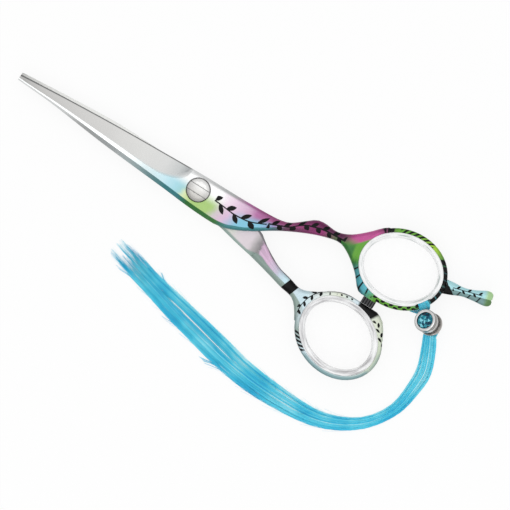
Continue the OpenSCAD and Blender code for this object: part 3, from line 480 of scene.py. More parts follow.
def thumb_print():
    """Comb blade, shank and ring of the thumb half: steel with a pale print towards the ring."""
    g = Graph.material("thumb_print")
    x, y, _ = g.place()
    bottom, top = side_curves(g, x, "thumb_blade", [
        -62, -57, -50, -42, -32, -22, -14, -6, 0, 10, 18, 25, 32, 38, 42])
    share = (y - bottom) / g.most(top - bottom, 1.0)
    drift = x + g.wobble(0.4, 3.0)
    # Painted shade: the face darkens from 23 to 24.8 mm, at the end of the flat step where it meets the
    # shank's shoulder
    face = g.scale_ramp(drift, -30.0, 50.0, [
        (-10, STEEL), (1, LAND), (8, rgb(206, 206, 200)), (15, rgb(206, 207, 199)), (18, PINK_GREY),
        (21, PINK_GREY), (23, rgb(172, 167, 169)), (24.8, SHOULDER_SHADE), (25.3, LILAC), (29, LILAC),
        (33, rgb(186, 186, 203)), (36, PALE_BLUE), (40, MIST), (46, PALE_BLUE)])
    side_band = g.smooth(x, 21.0, 27.0) * 0.30 + 0.10
    colour = g.mix(g.smooth(share - side_band, 0.04, -0.04) * g.smooth(x, 4.0, 9.0), face, SAGE)
    colour = g.mix(g.smooth(share, 0.90, 0.97) * g.between(x, 18.0, 41.0, 2.0), colour, SHADE)
    # Painted shadow: dull grey along the comb blade's upper edge, where the finger blade shades it
    front_blade_shadow = g.below(top - y, 1.3, 0.2) * g.below(x, -6.0, 1.0)
    colour = g.mix(front_blade_shadow, colour, DULL_STEEL)
    turn, out = ring_place(g, x, y, THUMB_RING, THUMB_TILT)
    ring_colour = g.ramp(turn + g.wobble(0.5, 0.03), [
        (0.0, PALE_OLIVE), (0.09, PALE_OLIVE), (0.20, OLIVE_WHITE), (0.29, MIST), (0.36, OLIVE_WHITE),
        (0.44, rgb(206, 214, 212)), (0.50, rgb(202, 216, 220)), (0.55, MIST), (0.62, SAGE), (0.71, MIST),
        (0.80, COOL_GREY), (0.88, COOL_GREY), (0.95, rgb(190, 204, 200)), (1.0, PALE_OLIVE)])
    plain_edge = 1.0 - g.most(g.between(turn, 0.40, 0.56, 0.03), g.between(turn, 0.10, 0.30, 0.02))
    lower_side = g.most(g.between(turn, 0.71, 0.99, 0.02), g.below(turn, 0.07, 0.02) * 0.5)
    ring_colour = g.mix(g.smooth(out, 0.0, 0.5) * lower_side * 0.8, ring_colour, TEAL_GREY)
    rim = g.smooth(out, 0.92, 1.2) * plain_edge
    ring_colour = g.mix(rim, ring_colour, g.mix(g.between(turn, 0.58, 0.92, 0.03), SHADE, TEAL_GREY))
    outer = g.smooth(out, 1.6, 2.2) * g.between(turn, 0.49, 0.57, 0.02)
    ring_colour = g.mix(outer, ring_colour, SAGE)
    colour = g.mix(g.smooth(x, 42.5, 46.5), colour, ring_colour)
    s = turn * (pi * (RING_A + RING_B))
    cuff = g.between(x - y * 0.35, 40.0, 43.6, 0.08) * g.below(turn, 0.55, 0.01) * g.smooth(turn, 0.3, 0.31)
    rim_dots = dots(g, s, out, 1.5, 0.3, 0.55) * arc(g, turn, 0.30, 0.37)
    sprig = branch(g, s, out - 1.25, 1.5, 0.85, 0.4, 0.12) * g.between(turn, 0.395, 0.56, 0.002)
    rim_leaves = leaves(g, s, out - 0.9, 1.3, 0.8, 0.36, LEAF_LEAN) * arc(g, turn, 0.105, 0.205)
    side_stripes = stripes(g, s, out, 1.3, 0.7, 0.6) * arc(g, turn, 0.625, 0.705)
    foot = g.between(turn, 0.213, 0.283, 0.005)
    ring_ink = g.most(g.most(rim_leaves, foot), side_stripes) * g.smooth(x, 45.0, 46.0)
    ink = g.most(g.most(cuff, g.most(rim_dots, sprig * g.smooth(x, 43.0, 43.4))), ring_ink)
    return printed_metal(g, colour, ink, g.smooth(drift, -4.0, 6.0), brushed(g))


def rest_print():
    """Finger rest: pale blue above its crease, darker grey teal below as painted shade over the print, a
    green tip darker below the crease too, and a dark root.
    """
    g = Graph.material("rest_print")
    x, y, _ = g.place()
    lean = FINGER_TILT + REST_TURN
    root = FINGER_RING + Vector((cos(FINGER_TILT), sin(FINGER_TILT), 0)) * (RING_A + BAND_W)
    along = (x - root.x) * cos(lean) + (y - root.y) * sin(lean)
    aside = (y - root.y) * cos(lean) - (x - root.x) * sin(lean)
    # Below the crease the colours are darker: painted shade on the side that faces away from the light
    under = g.below(aside, 0.0, 0.08)
    colour = g.mix(under, rgb(166, 214, 220), rgb(112, 146, 146))
    colour = g.mix(g.smooth(along, 11.6, 13.2), colour, g.mix(under, rgb(168, 206, 150), rgb(92, 130, 78)))
    edge = along + g.wobble(1.2, 0.6) + aside * 0.9
    root_dark = g.below(edge, 1.6, 0.15)
    patterned = g.between(along, 2.2, 11.2, 0.1)
    motif = branch(g, along + 0.4, aside - 0.6, 1.7, 0.75, 0.32, 0.12) * patterned
    bands = stripes(g, along, aside, 3.1, -0.5, 0.14) * under * patterned
    ink = g.most(root_dark, g.most(motif, bands))
    return printed_metal(g, colour, ink, g.smooth(along, -5.0, -4.0), brushed(g, 0.3))


def nut_steel():
    """Steel turned about the Z axis."""
    g = Graph.material("nut_steel")
    x, y, z = g.place()
    return turned(g, rgb(204, 204, 206), g.hypot(x, y) + z, 0.3, 0.2)


def turned(g, colour, across, groove_mm, roughness):
    """Metal with fine grooves across a direction, under light wear."""
    rings = g.sin(across * (TAU / groove_mm)) * 0.5 + 0.5
    wear = g.noise(1.6, detail=4.0)
    g.set(base_color=g.mix(g.smooth(wear, 0.4, 0.75) * 0.35, colour, DULL_STEEL))
    g.set(metallic=1.0, roughness=rings * 0.10 + wear * 0.14 + roughness)
    g.bump(rings * 0.5 + wear * 0.2, 0.015, 0.5)
    return g.owner


def bead_metal():
    """Plated bead of warm grey metal, with painted highlights on its rims and painted shade in its grooves,
    its waist and round the crystal.
    """
    g = Graph.material("bead_metal")
    x, y, z = g.place()
    dx = x - BEAD_AT.x
    dz = z - BEAD_AT.z
    out = g.hypot(dx * cos(BEAD_LEAN) + dz * sin(BEAD_LEAN), y - BEAD_AT.y)
    height = dz * cos(BEAD_LEAN) - dx * sin(BEAD_LEAN)
    foot = BODY_H + BEAD_RAISE
    bezel_foot_highlight = rgb(206, 204, 202)
    groove_shade = rgb(58, 56, 54)
    # Bands along the bead's height: painted shade in the waist, under the bezel, in its grooves and on its
    # side, and painted highlights on the collar, the bezel's foot and its top rim
    colour = g.scale_ramp(height, 0.0, foot + BEZEL_H, [
        (0.1, rgb(176, 170, 164)), (0.95, rgb(186, 181, 176)), (1.2, rgb(70, 67, 64)),
        (BODY_H - 1.1, rgb(104, 99, 95)), (BODY_H - 0.75, rgb(196, 193, 190)),
        (BODY_H - 0.1, rgb(96, 93, 90)), (foot + 0.25, bezel_foot_highlight), (foot + 0.66, bezel_foot_highlight),
        (foot + 0.82, groove_shade), (foot + 1.04, groove_shade), (foot + 1.2, rgb(126, 122, 117)),
        (foot + BEZEL_H - 0.3, rgb(150, 147, 143)), (foot + BEZEL_H - 0.1, rgb(226, 226, 226))])
    # Painted shade round the crystal's seat
    colour = g.mix(g.below(out, CRYSTAL_R + 0.1, 0.06), colour, rgb(84, 84, 84))
    return turned(g, colour, out + height, 0.22, 0.08)


def screw_metal():
    """Pivot screw: satin top with fine lines, lighter towards +Y as painted light, with painted shade on
    its rounded rim and along the slot's edges.
    """
    g = Graph.material("screw_metal")
    x, y, _ = g.place()
    lines = g.noise(1.0, g.stretched(0.5, 6.0, 1.0), 2.0)
    # Painted light: the head is lighter towards +Y than towards -Y
    colour = g.mix(g.smooth(y, -2.8, 2.4), rgb(156, 154, 150), rgb(210, 210, 209))
    colour = g.mix(lines * 0.5, colour, rgb(182, 181, 178))
    # Painted shade along the slot's edges and on the rounded rim
    slot_shade = g.between(g.absolute(y), SLOT_W / 2 - 0.06, SLOT_W / 2 + 0.16, 0.05)
    rim = g.smooth(g.hypot(x, y), screw_high.x - 0.32, screw_high.x - 0.1)
    g.set(base_color=g.mix(g.most(slot_shade * 0.75, rim), colour, rgb(84, 83, 83)))
    g.set(metallic=1.0, roughness=lines * 0.15 + 0.24)
    g.bump(lines, 0.01, 0.25)
    return g.owner


def clear_plastic(name, centre, tilt, streaked, greyest):
    """Soft milky-clear plastic with a faint haze, and grey streaks that run round its ring."""
    g = Graph.material(name)
    x, y, z = g.place()
    turn, out = ring_place(g, x, y, centre, tilt)
    haze = g.noise(0.8, detail=3.0)
    round_x = g.math("COSINE", turn * TAU) * STREAK_LAP
    round_y = g.sin(turn * TAU) * STREAK_LAP
    lap = g.node("ShaderNodeCombineXYZ", {0: round_x, 1: round_y, 2: out * 1.5 + z * 0.5}).outputs[0]
    streak = g.smooth(g.noise(1.0, lap), *streaked)
    milky = g.mix(haze, rgb(250, 251, 252), rgb(255, 255, 255))
    g.set(base_color=g.mix(streak, milky, greyest), roughness=haze * 0.15 + 0.16)
    g.set(alpha=0.92, specular=0.4)
    g.bump(haze, 0.02, 0.05)
    return g.owner


def rubber():
    """Dark rubber with a fine grain and ribs across X."""
    g = Graph.material("rubber")
    x = g.place()[0]
    grain = g.noise(14.0, detail=3.0)
    ribs = g.sin(x * (TAU / RIB_PITCH)) * 0.5 + 0.5
    pale = g.smooth(ribs, 0.25, 0.75) * 0.8 + grain * 0.2
    g.set(base_color=g.mix(pale, rgb(12, 12, 13), rgb(84, 84, 86)))
    g.set(roughness=grain * 0.25 + 0.5, specular=0.15)
    g.bump(ribs + grain * 0.15, 0.12, 0.6)
    return g.owner


def moulded(name, colour, metallic=0.0):
    """Plain inner piece with a fine machined or moulded grain."""
    g = Graph.material(name)
    g.place()
    grain = g.noise(6.0, detail=3.0)
    g.set(base_color=g.mix(grain, [c * 0.8 for c in colour], colour))
    g.set(metallic=metallic, roughness=grain * 0.2 + 0.3)
    g.bump(grain, 0.01, 0.4)
    return g.owner


def crystal_glass():
    """Turquoise cut glass; each facet gets a random depth of colour, a painted reflection that stands in
    for the light and dark inside the cut.
    """
    g = Graph.material("crystal_glass")
    g.place()
    cloud = g.noise(1.1, detail=1.0)
    g.set(base_color=g.ramp(g.attribute("facet") * 0.85 + cloud * 0.15, [
        (0.12, rgb(8, 48, 68)), (0.40, rgb(12, 86, 116)),
        (0.66, rgb(24, 146, 162)), (0.92, rgb(150, 234, 248))]))
    g.set(roughness=cloud * 0.04 + 0.02, transmission_weight=0.12, ior=1.5)
    g.set(specular=0.2, coat=0.05, coat_roughness=0.02)
    return g.owner


def hair_fibre():
    """Dyed fibre: cyan, lighter and darker from strand to strand and along its length."""
    g = Graph.material("hair_fibre")
    g.place()
    run = g.smooth(g.noise(0.10), 0.25, 0.75)
    g.set(base_color=g.ramp(g.attribute("strand") * 0.64 + run * 0.36, [
        (0.14, rgb(14, 164, 217)), (0.40, rgb(58, 200, 232)),
        (0.66, rgb(108, 222, 242)), (0.90, rgb(198, 242, 249))]))
    g.set(roughness=run * 0.2 + 0.34, specular=0.35, sheen_weight=0.15)
    return g.owner


# Meshes

def finish_mesh(mesh, material, smooth_angle):
    mesh.materials.clear()
    mesh.materials.append(material)
    if smooth_angle is not None:
        mesh.shade_smooth()
        mesh.set_sharp_from_angle(angle=radians(smooth_angle))


def mesh_from(work, name):
    """Turns a bmesh into a mesh and frees it."""
    mesh = bpy.data.meshes.new(name)
    work.to_mesh(mesh)
    work.free()
    return mesh


def link(name, data):
    """A new object in the scene."""
    made = bpy.data.objects.new(name, data)
    bpy.context.scene.collection.objects.link(made)
    return made


def add_object(name, mesh, material, smooth_angle=None):
    """Links a mesh as a new object with one material."""
    finish_mesh(mesh, material, smooth_angle)
    return link(name, mesh)


def stand_for(piece, node):
    """Puts a piece on the body of a node and hides the node."""
    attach(piece, body_of[node])
    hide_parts(node)
    return piece


def welded_copy(node):
    """The node's own surface with its corners joined and flat neighbours merged."""
    work = bmesh.new()
    work.from_mesh(nodes[node].data)
    bmesh.ops.remove_doubles(work, verts=work.verts, dist=0.002 * MM)
    flat = radians(0.6)
    bmesh.ops.dissolve_limit(work, angle_limit=flat, verts=work.verts, edges=work.edges)
    return mesh_from(work, node + "_surface")


def dress(node, material, smooth_angle=40):
    """Shows a node's own shape with a material."""
    piece = add_object("shown_" + node, welded_copy(node), material, smooth_angle)
    piece.modifiers.new("even_normals", "WEIGHTED_NORMAL").keep_sharp = True
    return stand_for(piece, node)


def mark_blade_facets(piece, behind_x, fine_angle):
    """Keeps the ground facets of a blade crisp, up to a place along X."""
    work = bmesh.new()
    work.from_mesh(piece.data)
    for edge in work.edges:
        middle = (edge.verts[0].co + edge.verts[1].co) / 2
        if middle.x < behind_x * MM and len(edge.link_faces) == 2:
            edge.smooth = edge.calc_face_angle(0.0) < radians(fine_angle)
    work.to_mesh(piece.data)
    work.free()


def lathe(name, profile, steps=96):
    """Closed body of revolution about local Z through (radius, height) points in millimetres."""
    work = bmesh.new()
    rows = []
    for radius, height in profile:
        row = []
        for i in range(steps if radius else 1):
            angle = TAU * i / steps
            point = (radius * cos(angle) * MM, radius * sin(angle) * MM, height * MM)
            row.append(work.verts.new(point))
        rows.append(row)
    for a, b in zip(rows, rows[1:]):
        for i in range(steps):
            j = (i + 1) % steps
            ring = [a[i % len(a)], a[j % len(a)], b[j % len(b)], b[i % len(b)]]
            work.faces.new(list(dict.fromkeys(ring)))
    bmesh.ops.recalc_face_normals(work, faces=work.faces)
    return mesh_from(work, name)


def eased(profile, amount=0.08):
    """A profile with each corner cut to two points, so that edges catch the light."""
    share = 0.4
    made = [profile[0]]
    for before, here, after in zip(profile, profile[1:], profile[2:]):
        for other in (before, after):
            reach = dist(here, other)
            t = min(amount, share * reach) / reach
            made.append((here[0] + (other[0] - here[0]) * t, here[1] + (other[1] - here[1]) * t))
    return made + [profile[-1]]


def on_bead(name, mesh, node, material, smooth_angle):
    """Adds a piece drawn in the bead's own frame: local Z along its axis, origin behind its rear face."""
    mesh.transform(Matrix.Translation(BEAD_AT * MM) @ Matrix.Rotation(-BEAD_LEAN, 4, "Y"))
    stand_for(add_object(name, mesh, material, smooth_angle), node)


def make_bead(metal):
    """Turned bead: rear flange, waist and collar, then the stepped bezel."""
    r = BODY_R
    collar = BEZEL_R - 0.2
    back = [
        (0, BEAD_RAISE), (r - FLANGE_IN, BEAD_RAISE), (r, FLANGE_UP), (r, 0.9), (r - 0.25, 1.15),
        (r - 0.7, 1.25), (r - 0.8, BODY_H - 1.1), (collar, BODY_H - 0.9), (collar, BODY_H - 0.6),
        (collar - 0.16, BODY_H - 0.54), (collar - 0.16, BODY_H - 0.40), (collar, BODY_H - 0.34),
        (collar, BODY_H - 0.15), (collar - 0.2, BODY_H), (0, BODY_H)]
    on_bead("bead_body", lathe("bead_body", eased(back)), "charm_body", metal, 40)
    r = BEZEL_R
    seat = CRYSTAL_R + 0.04
    foot = BODY_H + BEAD_RAISE
    top = foot + BEZEL_H - 0.05
    rim = [
        (0, foot), (r - 0.15, foot), (r, foot + 0.15), (r, foot + 0.7), (r - 0.25, foot + 0.8),
        (r - 0.25, foot + 1.05), (r, foot + 1.15), (r, top - 0.4), (r - 0.1, top - 0.16), (r - 0.34, top),
        (seat + 0.12, top - 0.02), (seat, top - 0.18), (seat, top - 0.5), (0.5, foot + 0.55),
        (0, foot + 0.55)]
    on_bead("bead_bezel", lathe("bead_bezel", eased(rim, 0.06)), "charm_bezel", metal, 40)


def make_crystal(material):
    """Round brilliant cut: table, star, kite and girdle facets over a pointed pavilion."""
    girdle = BODY_H + BEZEL_H - 0.5
    top = girdle + 0.88
    r = CRYSTAL_R
    fold = 8
    levels = [
        (0.0, top, 0.0, 1), (0.3 * r, top, 0.5, fold), (0.56 * r, top, 0.0, fold),
        (0.82 * r, girdle + 0.52, 0.5, fold), (r, girdle + 0.12, 0.0, 2 * fold), (r, girdle, 0.0, 2 * fold),
        (0.55 * r, girdle - 0.55, 0.5, fold), (0.0, girdle - 1.05, 0.0, 1)]
    work = bmesh.new()
    rings = []
    for radius, height, shift, count in levels:
        angles = [TAU * (i + shift) / count for i in range(count)]
        points = [Vector((radius * cos(a), radius * sin(a), height)) for a in angles]
        rings.append([work.verts.new(point * MM) for point in points])
    apex, inner, table, star, crown, belt, pavilion, culet = rings
    for i in range(fold):
        j = (i + 1) % fold
        work.faces.new((apex[0], inner[i], table[j], inner[j]))
        work.faces.new((inner[i], table[i], table[j]))
        work.faces.new((table[i], table[j], star[i]))
        work.faces.new((table[j], star[i], crown[2 * j], star[j]))
        work.faces.new((star[i], crown[2 * i], crown[2 * i + 1]))
        work.faces.new((star[i], crown[2 * i + 1], crown[2 * j]))
        work.faces.new((pavilion[i], belt[2 * i], belt[2 * i + 1]))
        work.faces.new((pavilion[i], belt[2 * i + 1], belt[2 * j]))
        work.faces.new((pavilion[i], belt[2 * j], pavilion[j], culet[0]))
    for i in range(2 * fold):
        j = (i + 1) % (2 * fold)
        work.faces.new((crown[i], crown[j], belt[j], belt[i]))
    bmesh.ops.recalc_face_normals(work, faces=work.faces)
    mesh = mesh_from(work, "crystal")
    # A random tone for each facet, which the glass turns into painted reflections
    draw = random.Random(11)
    tone = mesh.attributes.new("facet", "FLOAT", "FACE")
    for value in tone.data:
        value.value = draw.random()
    on_bead("crystal", mesh, "charm_crystal", material, 1)


def ring_point(angle, out, height):
    """Point of a ring's own frame, at an angle and outside the insert's outer edge by out."""
    across = Vector((RING_B * cos(angle), RING_A * sin(angle))).normalized()
    x = RING_A * cos(angle) + across.x * out
    y = RING_B * sin(angle) + across.y * out
    return Vector((x, y, height))


def make_insert(node, centre, tilt, width, material, hair_angle=None):
    """Soft channel that lines a ring, its lips drawn back where hair passes under them."""
    half = 1.75
    step = 1.25
    drawn_back = 0.45
    upper = [
        (-0.85, step), (-0.05, step), (-0.05, 0.84 * half), (-0.12, 0.93 * half), (-0.35, half),
        (0.75 - width, half), (0.42 - width, 0.94 * half), (0.2 - width, 0.78 * half),
        (0.06 - width, 0.45 * half)]
    section = upper + [(-width, 0.0)] + [(out, -z) for out, z in reversed(upper)]
    steps = 156
    work = bmesh.new()
    rows = []
    for i in range(steps):
        angle = TAU * i / steps
        near = 0.0
        if hair_angle is not None:
            near = 1 - ease(0.17, 0.21, abs((angle - hair_angle + pi) % TAU - pi))
        row = []
        for out, z in section:
            kept = min(out, -drawn_back * near) if abs(z) >= step else out
            row.append(work.verts.new(ring_point(angle, kept, z) * MM))
        rows.append(row)
    for a, b in zip(rows, rows[1:] + rows[:1]):
        for k in range(len(section)):
            m = (k + 1) % len(section)
            work.faces.new((a[k], a[m], b[m], b[k]))
    bmesh.ops.recalc_face_normals(work, faces=work.faces)
    place = Matrix.Translation(centre * MM) @ Matrix.Rotation(tilt, 4, "Z")
    bmesh.ops.transform(work, matrix=place, verts=work.verts)
    name = "clear_" + node
    stand_for(add_object(name, mesh_from(work, name), material, 50), node)


def make_screw(material):
    """Screw with a slightly crowned head, a rounded rim and a coin slot with broken edges."""
    r = screw_high.x
    top = screw_high.z
    end = screw_low.z
    under = top - HEAD_H
    shank_r = 1.8
    profile = [
        (0, end), (shank_r - 0.2, end), (shank_r, end + 0.2), (shank_r, under), (r - 0.1, under),
        (r, under + 0.1), (r, top - 0.34), (r - 0.22, top - 0.14), (0.6 * r, top - 0.06),
        (0.3 * r, top - 0.015), (0, top)]
    head = add_object("screw", lathe("screw", eased(profile, 0.06), 120), material)
    work = bmesh.new()
    bmesh.ops.create_cube(work, size=1.0)
    bmesh.ops.scale(work, vec=Vector((4 * r, SLOT_W, 2 * SLOT_DEPTH)) * MM, verts=work.verts)
    bmesh.ops.translate(work, vec=Vector((0, 0, top)) * MM, verts=work.verts)
    cutter = link("slot_cutter", mesh_from(work, "slot_cutter"))
    cut = head.modifiers.new("slot", "BOOLEAN")
    cut.object = cutter
    cut.solver = "EXACT"
    soften = head.modifiers.new("broken_edges", "BEVEL")
    soften.width = 0.14 * MM
    soften.segments = 2
    soften.angle_limit = radians(60)
    shape = bpy.data.meshes.new_from_object(head.evaluated_get(bpy.context.evaluated_depsgraph_get()))
    head.modifiers.clear()
    head.data = shape
    bpy.data.objects.remove(cutter)
    finish_mesh(shape, material, 30)
    stand_for(head, "pivot_screw")


# The lock keeps to the route of its solid within about 0.6 mm; steps from the bead, in millimetres
LOCK_STEPS = [
    (3.1, -6.55, 0.9), (5.45, -12.5, 0.05), (5.7, -18.2, 0), (4.1, -27.4, 0), (-2.2, -36.1, 0),
    (-12.9, -41.6, 0), (-25.9, -42.8, 0), (-39.9, -42.1, 0), (-55.5, -39, 0), (-71.8, -35.4, 0),
    (-80.5, -33.2, 0), (-92.5, -29.8, 0)]
LOCK_Z = 0.55
LOCK_T = 0.86
CRIMP_LEN = 4.4
CRIMP_AT = middle_mm("charm_crimp")
CRIMP_DIR = Vector((
    cos(CRIMP_TURN) * cos(BEAD_LEAN),
    sin(CRIMP_TURN),
    cos(CRIMP_TURN) * sin(BEAD_LEAN)))
BEAD_AXIS = Vector((-sin(BEAD_LEAN), 0, cos(BEAD_LEAN)))
NECK = Vector((76.476, 5.699, 1.37))
LOOP_OUT = Vector((cos(LOOP_DIR), sin(LOOP_DIR), 0))
lock_route = [NECK + LOOP_OUT * 1.2]
lock_route += [CRIMP_AT + CRIMP_DIR * (s * CRIMP_LEN) for s in (-0.5, 0, 0.5, 0.75)]
lock_route[-1] += Vector((-0.45, -0.28, 0))
lock_route += [Vector((BEAD_AT.x + p[0], BEAD_AT.y + p[1], LOCK_Z + p[2])) for p in LOCK_STEPS]
ROUTE_END = len(lock_route) - 1

# Width of the lock at its neck, then stretches of the route over which it comes to a new width
NECK_W = 0.9
WIDTHS = [(0, 1.2, 3.3), (3.2, 4.3, 4.4), (6, 8.3, 3.1), (8.4, 12, 6.6)]

# Gap in the lock: place across, half width, where it opens and closes, and the phase of fibres across it
PARTING = -0.22
GAP_HALF = 0.42
GAP_OPENS = (12.0, 12.7)
GAP_CLOSES = (13.4, 14.4)
CROSSING_PHASE = 0.4

# Numbers of fibres, weights of a fibre's tone, and wisps that leave the lock: place, side, reach, count
WISP_COUNT = 13
LOCK_FIBRES = 640
FLYAWAYS = 60
LOOP_FIBRES = 200
HOOKED_FIBRES = 90
WISP_TONE = 0.66
FIBRE_TONE = 0.34
LOOSE_WISPS = [
    (12.25, 1, 2.4, 16), (12.1, 1, 2.6, 6), (13.2, 1, 1.6, 7), (14.1, -1, 1.3, 9), (15.0, 1, 1.2, 8)]

# Half width of the loop on the band, and the radius of the band there
LOOP_HALF = 1.6
LOOP_R = 11.6


def route_at(u):
    """Point of a smooth curve through the route, u points from its start."""
    i = min(ROUTE_END - 1, int(u))
    t = u - i
    a, b = lock_route[max(0, i - 1)], lock_route[i]
    c, d = lock_route[i + 1], lock_route[min(ROUTE_END, i + 2)]
    return b + (c - a + (a * 2 - b * 5 + c * 4 - d + (b * 3 - a - c * 3 + d) * t) * t) * (t / 2)


def lock_width(u):
    width = NECK_W
    for start, end, reached in WIDTHS:
        width = mix(width, reached, ease(start, end, u))
    return width


def lock_frame(u):
    """Sideways and upward direction across the lock."""
    along = (route_at(min(ROUTE_END, u + 0.02)) - route_at(max(0, u - 0.02))).normalized()
    flat_up = (Vector((0, 0, 1)) - along * along.z).normalized()
    lean_up = (BEAD_AXIS - along * BEAD_AXIS.dot(along)).normalized()
    up = lean_up.lerp(flat_up, min(1.0, ease(4, 6, u) + 1 - ease(0, 0.9, u))).normalized()
    return up.cross(along), up


class Strands:
    """Collects tapered fibres into one mesh, with a tone for each."""

    def __init__(self):
        self.points = []
        self.faces = []
        self.tones = []

    def add(self, line, radius, tone, sides=4):
        """line is a list of (point in millimetres, share of the radius)."""
        first = len(self.points)
        for i, (point, share) in enumerate(line):
            before = line[max(0, i - 1)][0]
            after = line[min(len(line) - 1, i + 1)][0]
            along = (after - before).normalized()
            aside = along.cross(Vector((0, 0, 1)))
            if aside.length <= 0.05:
                aside = along.cross(Vector((1, 0, 0)))
            aside.normalize()
            up = aside.cross(along)
            for j in range(sides):
                angle = TAU * (j + 0.5) / sides
                offset = (aside * cos(angle) + up * sin(angle)) * (radius * share)
                self.points.append((point + offset) * MM)
            self.tones += [tone] * sides
        for i in range(len(line) - 1):
            for j in range(sides):
                k = (j + 1) % sides
                a = first + i * sides
                self.faces.append((a + j, a + k, a + sides + k, a + sides + j))

    def mesh(self, name):
        made = bpy.data.meshes.new(name)
        made.from_pydata(self.points, [], self.faces)
        tone = made.attributes.new("strand", "FLOAT", "POINT")
        tone.data.foreach_set("value", self.tones)
        made.shade_smooth()
        return made


def make_lock(material):
    """The free lock: fine fibres gathered in wisps, with frayed ends and a few flyaways."""
    draw = random.Random(5)
    strands = Strands()
    wisps = [
        {"middle": 2 * (k + 0.5) / WISP_COUNT - 1, "shift": draw.uniform(-0.12, 0.12),
         "phase": draw.uniform(0, TAU), "tone": draw.uniform(0.1, 0.9),
         "end": ROUTE_END - 0.05 - 0.6 * draw.random()}
        for k in range(WISP_COUNT)]
    for _ in range(LOCK_FIBRES):
        place = min(1.1, max(-1.1, draw.uniform(-0.98, 0.98) + draw.gauss(0, 0.06)))
        wisp = wisps[min(WISP_COUNT - 1, max(0, int((place + 1) / 2 * WISP_COUNT)))]
        depth = draw.uniform(-1, 1) * sqrt(1 - 0.8 * place * place)
        end = min(ROUTE_END - 0.02, wisp["end"] - 0.8 * draw.random() ** 1.5 + 0.1)
        stray = draw.gauss(0, 0.10) * (3 if draw.random() < 0.08 else 1)
        line = lock_line(place, wisp, depth, end, stray, draw.uniform(0, TAU))
        radius = draw.uniform(0.05, 0.085)
        strands.add(line, radius, WISP_TONE * wisp["tone"] + FIBRE_TONE * draw.random())
    for _ in range(FLYAWAYS):
        leave = draw.uniform(8.5, 14.0)
        edge = draw.choice((-1, 1))
        line = flyaway_line(leave, edge, draw.uniform(0.3, 1.6), draw.uniform(0.5, 1.2))
        strands.add(line, 0.05, draw.uniform(0.2, 0.9))
    for leave, edge, reach, count in LOOSE_WISPS:
        for _ in range(count):
            span = draw.uniform(0.42, 0.56)
            line = flyaway_line(leave, edge, reach, span, draw.gauss(0, 0.06))
            strands.add(line, 0.06, draw.uniform(0.1, 0.6))
    stand_for(add_object("hair_lock", strands.mesh("hair_lock"), material), "hair_tail")


def lock_line(place, wisp, depth, end, stray, phase):
    """One fibre of the lock, at a place from -1 to 1 across it."""
    rows = 46
    gap = GAP_HALF if place > PARTING else -GAP_HALF
    if phase < CROSSING_PHASE:
        gap = 0.0
    line = []
    for i in range(rows + 1):
        u = end * i / rows
        side, up = lock_frame(u)
        gather = 1 + 0.06 * sin(wisp["phase"] + u * 1.3)
        held = mix(place, wisp["middle"], 0.45 * ease(15.0, ROUTE_END, u))
        parted = gap * ease(*GAP_OPENS, u) * (1 - ease(*GAP_CLOSES, u))
        wander = 0.14 * ease(5, 12, u) * sin(phase + u * mix(0.7, 1.5, phase / TAU))
        wander += stray * ease(12.5, ROUTE_END, u) * 2
        across = held * lock_width(u) / 2 * gather + parted + wander + wisp["shift"] * ease(11, 16, u)
        lift = depth * (LOCK_T / 2 - 0.05) * mix(0.8, 1.0, ease(4, 5, u))
        taper = mix(1.0, 0.2, ease(end - 0.7, end, u))
        line.append((route_at(u) + side * across + up * lift, taper))
    return line


def flyaway_line(leave, edge, reach, span, offset=0.0):
    """A fibre that lies along one side of the lock for a while and then leaves it."""
    rows = 14
    before = 1.5
    line = []
    for i in range(rows + 1):
        u = min(ROUTE_END - 0.05, leave - before + (span + before) * i / rows)
        side = lock_frame(u)[0]
        away = reach * max(0.0, (u - leave) / span) ** 1.6
        across = edge * (lock_width(u) * 0.46 + away) + offset
        line.append((route_at(u) + side * across, mix(0.95, 0.45, i / rows)))
    return line


def on_finger_ring(angle, out, height):
    """A point of the finger ring's frame in place."""
    return FINGER_RING + Matrix.Rotation(FINGER_TILT, 3, "Z") @ ring_point(angle, out, height)


def make_loop(material):
    """Hair that passes over and under the band of the finger ring and gathers behind the bead."""
    draw = random.Random(9)
    strands = Strands()
    crest = 1.72
    over = [
        (2.3, -0.3, 0.6), (1.85, 0.9, 0.8), (1.55, 1.45, 0.92), (1.15, crest, 1.0),
        (0.2, crest + 0.03, 1.0), (-0.15, crest - 0.02, 1.0), (-0.38, 1.42, 1.0), (-0.7, 1.28, 1.0)]
    aside = Vector((-LOOP_OUT.y, LOOP_OUT.x, 0))
    for k in range(LOOP_FIBRES):
        place = draw.uniform(-1, 1)
        swell = draw.uniform(0.97, 1.09)
        reach = place * LOOP_HALF / LOOP_R
        tail = NECK + aside * (place * 0.5) + Vector((0, 0, draw.uniform(-0.3, 0.3)))
        side = 1 if k % 2 else -1
        line = [(tail, 0.8)] + [
            (on_finger_ring(LOOP_ANGLE + reach * spread, out * swell, side * height * swell), 1.0)
            for out, height, spread in over]
        strands.add(rounded(line), draw.uniform(0.05, 0.08), draw.uniform(0.45, 1.0))
    for _ in range(HOOKED_FIBRES):
        angle = radians(draw.uniform(-60, -46))
        height = draw.uniform(-0.12, 0.12) - crest
        hook = NECK + Vector((draw.uniform(0.3, 1.2), draw.uniform(-1.3, -0.4), draw.uniform(-0.25, 0.15)))
        line = [
            (on_finger_ring(angle, -0.2, height - 0.02), 0.5), (on_finger_ring(angle, 0.9, height), 1.0),
            (on_finger_ring(angle + 0.02, 1.7, height + 0.08), 1.0), (hook, 0.9)]
        strands.add(rounded(line), draw.uniform(0.05, 0.075), draw.random())
    stand_for(add_object("hair_round_ring", strands.mesh("hair_round_ring"), material), "hair_loop")


